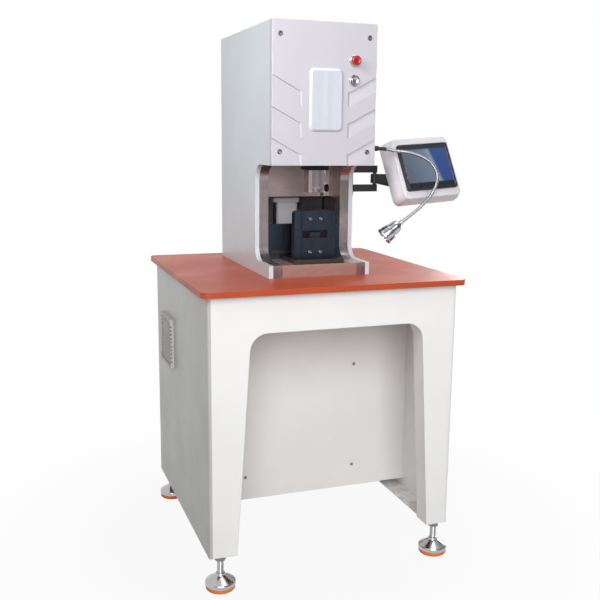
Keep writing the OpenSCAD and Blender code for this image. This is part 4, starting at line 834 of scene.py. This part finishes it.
# %% Pilot lamp
def ribbed(radius, height, ribs=24, depth=0.35):
    """A circle with a row of ribs round it."""
    return ring_of(lambda a: radius - depth * (0.5 + 0.5 * math.cos(ribs * a)),
                   height, AROUND_LENS)


lens_rings = [circle(10.2, 2, AROUND_LENS), circle(12.6, 4.2, AROUND_LENS),
              ribbed(13, 5), ribbed(13, 12.5), ribbed(12.6, 14.6)]
lens_top = [(12.2, 15.4), (11, 16.4), (9.2, 17), (7.4, 16.2), (4, 15.6), (0.05, 15.4)]
lens_rings += lathe(eased(lens_top, 0.8, 3), AROUND_LENS)
pilot = joined("pilot_lens", [skinned(lens_rings, LAMP_PLACE)],
               red_plastic, "frame", "red_plastic")
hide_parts("pilot_lamp")
print("pilot lamp faces:", len(pilot.data.polygons))

# %% [markdown]
# The button's cap slides in its bezel, so it rides on its own body.

# %% Button
cap = [(10.0, -6), (10.0, 7.0), (9.2, 8.0), (7.8, 7.9), (4, 7.0), (0.05, 6.7)]
button = joined("button_cap", [turned(cap, 0.7, 3, BUTTON_PLACE)],
                bright_steel, "button", "grey_plastic")
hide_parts("start_button")
print("button faces:", len(button.data.polygons))

# %% [markdown]
# ## Touch screen
# The housing is a deep white box that widens towards its back, tilted back and slightly rolled.
# A black bezel block stands proud of it, with a fine bright line set in, and the glass lies a
# little lower. Everything is drawn in the screen's own axes, x right, y into the screen and z up
# its face, and then placed with the same three turns as the solid.

# %% Rounded rectangles in the screen's axes
SCREEN_PLACE, SCREEN_TURNS = Vector((321, -179, 1084)), ((4, "Z"), (-25, "X"), (-4, "Y"))
SCREEN_AT = Matrix.Translation(SCREEN_PLACE / 1000)
for degrees, axis in SCREEN_TURNS:
    SCREEN_AT = SCREEN_AT @ Matrix.Rotation(math.radians(degrees), 4, axis)
SCREEN_AT = SCREEN_AT @ MM


def frame_ring(width, height, corner, depth):
    """A rounded rectangle in the plane of the screen, at a depth behind its front."""
    return [(x, depth, z) for x, z in rounded(width, height, corner, per_corner=8)]


print("the screen's middle stands", round(SCREEN_AT.translation.z, 3), "metres high")

# %% [markdown]
# The housing's front edge is softly rounded. Its sides lean outwards to the widest place, and
# run straight from there to a rounded back edge. The front has an opening for the bezel.

# %% Screen housing
SHELL_W, SHELL_H, SHELL_R = 210, 182, 18
SHELL_FRONT, SHELL_WIDE, SHELL_BACK = 9.0, 45.0, 59.0
FRONT_W, FRONT_H, FRONT_SOFT, BACK_SOFT = SHELL_W - 24, SHELL_H - 6, 4.0, 5
OPENING, STEPS = (160, 131, 5), 6
shell = [frame_ring(*OPENING, SHELL_FRONT + 2), frame_ring(163, 134, 6, SHELL_FRONT)]
for i in range(STEPS + 1):
    angle = math.radians(90 * i / STEPS)
    inset = FRONT_SOFT * (1 - math.sin(angle))
    shell.append(frame_ring(FRONT_W - 2 * inset, FRONT_H - 2 * inset, SHELL_R - 2 - inset * 0.5,
                            SHELL_FRONT + FRONT_SOFT * (1 - math.cos(angle))))
for i in range(1, STEPS + 1):
    share = i / STEPS
    bulge = math.sin(math.pi / 2 * share) ** 0.9
    shell.append(frame_ring(
        FRONT_W + (SHELL_W - FRONT_W) * bulge, FRONT_H + (SHELL_H - FRONT_H) * share, SHELL_R,
        SHELL_FRONT + FRONT_SOFT + (SHELL_WIDE - SHELL_FRONT - FRONT_SOFT) * share))
for i in range(STEPS + 1):
    angle = math.radians(90 * i / STEPS)
    inset = BACK_SOFT * (1 - math.cos(angle))
    shell.append(frame_ring(SHELL_W - 2 * inset, SHELL_H - 2 * inset, SHELL_R - inset,
                            SHELL_BACK - BACK_SOFT + BACK_SOFT * math.sin(angle)))
housing = joined("screen_shell", [skinned(shell, SCREEN_AT, False)],
                 screen_white, "screen", "white_plastic")
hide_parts("screen_housing")
print("housing faces:", len(housing.data.polygons))

# %% [markdown]
# On the back two ears hold the tilt pin, and rows of slots let the warm air out. The ears copy
# the solid's sizes, because the arm's ring turns between them.

# %% Ears, pin and back slots
def bar(low, high, ease=0.8):
    """A block with eased front and back edges, as rings along the screen's depth."""
    low, high = Vector(low), Vector(high)
    rings = []
    for y, inset in ((low.y, ease), (low.y + ease, 0), (high.y - ease, 0), (high.y, ease)):
        x0, x1, z0, z1 = low.x + inset, high.x - inset, low.z + inset, high.z - inset
        rings.append([(x0, y, z0), (x1, y, z0), (x1, y, z1), (x0, y, z1)])
    return skinned(rings, SCREEN_AT)


def rod(levels, y, z, count=32):
    """Rings of a rod along x, from pairs of x and radius."""
    return [[(x, y + r * math.cos(a), z + r * math.sin(a)) for a in around(count)]
            for x, r in levels]


def across(radius, x0, x1, ease=0.5):
    """A rod with eased ends about the tilt pin's axis."""
    levels = ((x0, radius - ease), (x0 + ease, radius), (x1 - ease, radius), (x1, radius - ease))
    return skinned(rod(levels, TILT_BACK, 0), SCREEN_AT)


TILT_X, TILT_BACK = -75, SHELL_BACK + 12
EAR_THICK, EAR_RADIUS, EAR_GAP, PIN_RADIUS, PIN_REACH = 8, 9.0, 5.3, 5.2, 16.5
SLOT_HALF_WIDE, SLOT_HALF_HIGH = 18, 1.2
ears = []
for x in (TILT_X - EAR_GAP - EAR_THICK, TILT_X + EAR_GAP):
    ears.append(across(EAR_RADIUS, x, x + EAR_THICK))
    ears.append(bar((x, SHELL_BACK - 2, -EAR_RADIUS), (x + EAR_THICK, TILT_BACK, EAR_RADIUS)))
ears.append(across(PIN_RADIUS, TILT_X - PIN_REACH, TILT_X + PIN_REACH))
joined("screen_ears", ears, screen_white, "screen", "white_plastic")
slots = [bar((x - SLOT_HALF_WIDE, SHELL_BACK - 0.8, z - SLOT_HALF_HIGH),
             (x + SLOT_HALF_WIDE, SHELL_BACK + 0.4, z + SLOT_HALF_HIGH), 0.3)
         for x in (-30, 20, 70) for z in (-60, -52, -44, 44, 52, 60)]
joined("screen_vent_slots", slots, black_plastic, "screen", "black_plastic")
print("parts of the ears:", len(ears), "vent slots:", len(slots))

# %% [markdown]
# The bezel is a frame whose section steps forward and slopes in to the glass. Each row below is
# a rounded rectangle: width, height, corner radius and depth. The bright line is laid in the same
# way, flush with the bezel's face.

# %% Bezel and bright line
BEZEL_RINGS = ((*OPENING, 11), (162.6, 133.6, 6, 9.5), (162.6, 133.6, 6, 1.6),
               (161.8, 132.8, 5.6, 0.5), (*OPENING, 0.0), (149.5, 120.5, 3, 0.0),
               (147.2, 118.2, 2, 1.4))
LINE_RINGS = ((151.6, 122.6, 3.6, 0.1), (151.6, 122.6, 3.6, 0.0),
              (150.2, 121.2, 3.2, 0.0), (150.2, 121.2, 3.2, 0.1))


def open_frame(rows):
    """A frame from rows of rounded rectangles, open at both ends, in the screen's place."""
    return skinned([frame_ring(*row) for row in rows], SCREEN_AT, False, False)


bezel_piece = joined("screen_bezel", [open_frame(BEZEL_RINGS)],
                     black_plastic, "screen", "black_plastic")
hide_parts("screen_panel")
joined("screen_bright_line", [open_frame(LINE_RINGS)], chrome, "screen", "black_plastic")
print("bezel faces:", len(bezel_piece.data.polygons))

# %% [markdown]
# The glass is a dark panel under a clear coat. What it shows is plain: a grey-blue field with a
# paler slanting band, which is a painted reflection, a blue field beyond it, and darker strips
# along the foot and the top. The fields are drawn from the surface's own coordinates, in metres
# from its middle, so they stay put in any view. That is why the glass keeps its own axes while the
# other pieces are drawn in place. Its mesh is in metres already, so the last matrix takes the
# screen's millimetres back.

# %% Glass
glass_face = [frame_ring(147.4, 118.4, 2, 1.3), frame_ring(147.4, 118.4, 2, 1.0),
              frame_ring(146, 117, 2, 0.9)]
glass_finish, tree, shader = finish("screen glass", roughness=0.12, Coat_Weight=0.3)
glass = piece("screen_glass", *skinned(glass_face, MM, False), glass_finish,
              "screen", "black_plastic")
glass.matrix_world = SCREEN_AT @ Matrix.Scale(1000, 4)
local = own_place(tree)
parts = add(tree, "SeparateXYZ", i0=local).outputs
soft = noise(tree, local, 28.0, 2.0)
lean = add(tree, "Math", {"operation": "MULTIPLY_ADD"}, i0=parts["Z"], i1=0.22, i2=parts["X"])
wobble = add(tree, "Math", {"operation": "MULTIPLY_ADD"},
             i0=soft, i1=0.006, i2=lean.outputs[0]).outputs[0]
field = shade(88, 99, 117)
# The second field, the paler slanting band, is a painted reflection across the glass.
for where, low, high, colour in (
        (wobble, -0.075, 0.02, shade(108, 121, 140)),
        (wobble, 0.008, 0.026, shade(132, 146, 166)),
        (wobble, 0.022, 0.036, shade(42, 72, 134)),
        (parts["Z"], -0.044, -0.049, shade(26, 31, 40)),
        (parts["Z"], 0.047, 0.054, shade(30, 42, 56))):
    field = blend_colours(tree, ramp(tree, where, low, high), field, colour)
tree.links.new(field, shader.inputs["Emission Color"])
shader.inputs["Emission Strength"].default_value = 1.0
base = blend_colours(tree, soft, shade(8, 9, 11), shade(12, 13, 16))
tree.links.new(base, shader.inputs["Base Color"])
print("glass faces:", len(glass.data.polygons))

# %% [markdown]
# ## Gooseneck lamp
# The neck is a steel hose wound from strip, so its side is a row of fine ribs. The route is the
# solid's own list of points, smoothed the same way. Along it a frame is carried from ring to
# ring without twisting, and the radius pulses once per rib.

# %% Route of the neck
NECK_START = Vector((170, -172, 1130))
NECK_ROUTE = [Vector(p) for p in (
    (0, 0, 0), (26, -4, -2), (47, -14, -6), (65, -25, -8), (83, -34, -11), (102, -42, -17),
    (119, -49, -25), (134, -56, -38), (144, -63, -55), (147, -69, -73), (144, -73, -88),
    (135, -77, -106), (122, -80, -125), (104, -82, -142), (84, -83, -159), (62, -83, -175),
    (46, -82, -187), (39, -81, -192))]


def smooth_route(route, per_step):
    """Points on a smooth curve through a route."""
    line = []
    last = len(route) - 1
    for i in range(last):
        a, b, c, d = (route[max(0, min(last, i + k))] for k in (-1, 0, 1, 2))
        for j in range(per_step):
            t = j / per_step
            line.append(0.5 * (2 * b + (c - a) * t + (2 * a - 5 * b + 4 * c - d) * t * t
                               + (3 * b - a - 3 * c + d) * t ** 3))
    return line + [route[last]]


neck_line = [NECK_START + p for p in smooth_route(NECK_ROUTE, 48)]
neck_length = sum((b - a).length for a, b in zip(neck_line, neck_line[1:]))
print("neck length", round(neck_length), "mm")

# %% [markdown]
# Four rings make one rib of the hose. A short ferrule joins it to its socket, and a black sleeve
# covers its first few centimetres.

# %% Ribbed hose
RIB, RIB_DEPTH, NECK_RADIUS = 2.6, 0.45, 4.5
SLEEVE_RINGS, SLEEVE_STEP = 13, 2.0


def hose(line, radius_at, step, count=20):
    """Rings along a line, a step apart, with a radius for each distance."""
    rings, travelled, wanted = [], 0.0, 0.0
    normal = Vector((0, 0, 1))
    for a, b in zip(line, line[1:]):
        length = (b - a).length
        while wanted <= travelled + length + 1e-9:
            at = a + (b - a) * ((wanted - travelled) / length)
            ahead = (b - a).normalized()
            normal = (normal - normal.dot(ahead) * ahead).normalized()
            other = ahead.cross(normal)
            r = radius_at(wanted)
            rings.append([at + r * (math.cos(turn) * normal + math.sin(turn) * other)
                          for turn in around(count)])
            wanted += step
        travelled += length
    return rings


def ribbed_radius(distance):
    """The hose's radius at a distance along it: one soft groove per rib."""
    return NECK_RADIUS - RIB_DEPTH * abs(math.sin(math.pi * distance / RIB)) ** 0.6


def sleeve_radius(distance):
    """The sleeve's radius at a distance along the neck, a little less at both ends."""
    return 5.0 if 1 < distance < (SLEEVE_RINGS - 1) * SLEEVE_STEP else 4.6


neck_rings = hose(neck_line, ribbed_radius, RIB / 4)
ferrule = rod(((154, 4.2), (155, 4.5), (170, 4.5), (171, 4.2)), NECK_START.y, NECK_START.z, 24)
neck = joined("hose_neck", [skinned(neck_rings), skinned(ferrule)],
              hose_chrome, "lamp", "chrome_metal", crease=60)
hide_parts("gooseneck")
sleeve_rings = hose(neck_line, sleeve_radius, SLEEVE_STEP)[:SLEEVE_RINGS]
joined("neck_sleeve", [skinned(sleeve_rings)], black_plastic, "lamp", "black_plastic")
print("rings on the hose:", len(neck_rings))

# %% [markdown]
# The lamp's head is spun and plated: a collar, a stepped barrel and a wider mouth with a rolled
# rim. Inside it sit a reflector and a clear lens. It hangs along the line that the neck ends in.

# %% Lamp head
LAMP_AIM = (-46, 8, -37)
lamp_at = stand(NECK_START + NECK_ROUTE[-1], LAMP_AIM)
HEAD_PROFILE = [
    (4.4, -1.5), (6.6, -0.5), (6.6, 6.5), (8.8, 7.5), (9.0, 10.0), (13.4, 11.5), (16.4, 19.0),
    (18.6, 37.0), (20.4, 38.2), (22.0, 52.0), (22.4, 58.5), (23.5, 59.5), (23.5, 63.2),
    (22.8, 64.0), (21.9, 63.4), (21.7, 58.0), (14.0, 42.0), (6.0, 36.5), (0.05, 36.0)]
LENS_PROFILE = [(0.05, 60.6), (12, 60.9), (21.4, 61.6), (21.4, 60.2), (12, 59.4), (0.05, 59.0)]
lamp_shell = joined("lamp_shell", [turned(HEAD_PROFILE, 1.0, 3, lamp_at)],
                    chrome, "lamp", "chrome_metal")
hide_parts("lamp_head")
lens = joined("lamp_lens_disc", [turned(LENS_PROFILE, 0.4, 2, lamp_at)],
              lens_clear, "lamp", "lens_glass")
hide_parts("lamp_lens")
print("lamp head length", max(height for _, height in HEAD_PROFILE), "mm")

# %% [markdown]
# ## Floor and light
# The photograph's ground is plain white. The floor shows white to the camera and in reflections,
# but keeps a part of its real shading round the feet, so the machine's shadow stays. To other
# rays it is a mid grey, which keeps the bounce from below soft.

# %% Floor
FLOOR_SIZE = 14
bpy.ops.mesh.primitive_plane_add(size=FLOOR_SIZE, location=(0, 0, 0))
floor = bpy.context.object
floor.name = "studio_floor"
floor_paint, tree, shader = finish("studio floor", roughness=0.9, Specular_IOR_Level=0.0)
spot = own_place(tree)
ground_tone = blend_colours(tree, noise(tree, spot, 3.0, 4.0),
                            shade(156, 156, 156), shade(162, 162, 162))
tree.links.new(ground_tone, shader.inputs["Base Color"])


def any_ray(tree, *kinds):
    """1 for rays of the named kinds, and 0 for the rest."""
    rays = add(tree, "LightPath").outputs
    found = rays["Is %s Ray" % kinds[0]]
    for kind in kinds[1:]:
        found = add(tree, "Math", {"operation": "MAXIMUM"},
                    i0=found, i1=rays["Is %s Ray" % kind]).outputs[0]
    return found


white = add(tree, "Emission", Color=(1, 1, 1, 1), Strength=1.0)
away = add(tree, "VectorMath", {"operation": "LENGTH"}, i0=spot)
whiter = ramp(tree, away.outputs["Value"], 0.4, 1.2, 0.93, 1.0)
share = times(tree, any_ray(tree, "Camera", "Glossy", "Transmission"), whiter)
both = add(tree, "MixShader", i0=share, i1=shader.outputs[0], i2=white.outputs[0])
tree.links.new(both.outputs[0], tree.nodes["Material Output"].inputs["Surface"])
floor.data.materials.append(floor_paint)
print("floor is", FLOOR_SIZE, "metres wide")

# %% [markdown]
# The world is white where the camera or clear plastic sees it. Mirror rays see nearly the same
# white behind and on the left, and darker cards in front and on the right: in an all-white room
# polished chrome would look like paper, and those cards give its reflections their dark bands.
# The soft light of the world comes from the right and hardly at all from the left, because the
# bench's left side is in shade.

# %% World
world = bpy.data.worlds.new("studio")
bpy.context.scene.world = world
world.use_nodes = True
tree = world.node_tree
tree.nodes.clear()
sky = add(tree, "SeparateXYZ", i0=add(tree, "TexCoord").outputs["Generated"]).outputs
daylight = ramp(tree, sky["X"], -0.75, 0.1, 0.02, 0.25)
lit = add(tree, "Background", Color=(0.97, 0.98, 1.0, 1), Strength=daylight)
seen = add(tree, "Background", Color=(1, 1, 1, 1), Strength=1.0)
cards = times(tree, ramp(tree, sky["Y"], -0.2, -0.75, 1.0, 0.3),
              ramp(tree, sky["X"], 0.1, 0.9, 1.0, 0.35))
mirrored = add(tree, "Background", Color=(0.96, 0.98, 1.0, 1), Strength=cards)
plain = add(tree, "MixShader", i0=any_ray(tree, "Glossy"), i1=lit.outputs[0],
            i2=mirrored.outputs[0])
both = add(tree, "MixShader", i0=any_ray(tree, "Camera", "Transmission"), i1=plain.outputs[0],
           i2=seen.outputs[0])
end = tree.nodes.new("ShaderNodeOutputWorld")
tree.links.new(both.outputs[0], end.inputs["Surface"])
print("world nodes:", len(tree.nodes))

# %% [markdown]
# A large panel in front lights the faces, a small one high on the left lights the press's side,
# one overhead gives the table its soft gloss, and one stands behind on the right for the sides
# that the photograph doesn't show.

# %% Soft panels
def panel(name, at, aim, size, watts, spread=180):
    """A square area light that stands at one point and looks at another."""
    data = bpy.data.lights.new(name, "AREA")
    data.shape, data.size, data.energy = "SQUARE", size, watts
    data.spread = math.radians(spread)
    lamp = bpy.data.objects.new(name, data)
    bpy.context.scene.collection.objects.link(lamp)
    lamp.location = at
    lamp.rotation_euler = (Vector(aim) - Vector(at)).to_track_quat("-Z", "Y").to_euler()


panel("key_panel", (-0.95, -3.9, 2.2), (0, 0, 0.7), 2.8, 150)
panel("left_panel", (-1.5, -0.9, 2.1), (-0.1, 0, 1.38), 0.7, 3.3, spread=60)
panel("top_panel", (0.6, -0.2, 3.4), (0, 0, 0.8), 1.4, 14)
panel("rear_panel", (3.1, 2.4, 1.5), (0, 0, 0.8), 2.2, 100)
bpy.context.scene.view_settings.view_transform = "Standard"

# %% [markdown]
# ## Finish
# The dressed machine must fill the same box as the bare solids. The last line updates the scene.

# %% The last line
bpy.context.view_layer.update()
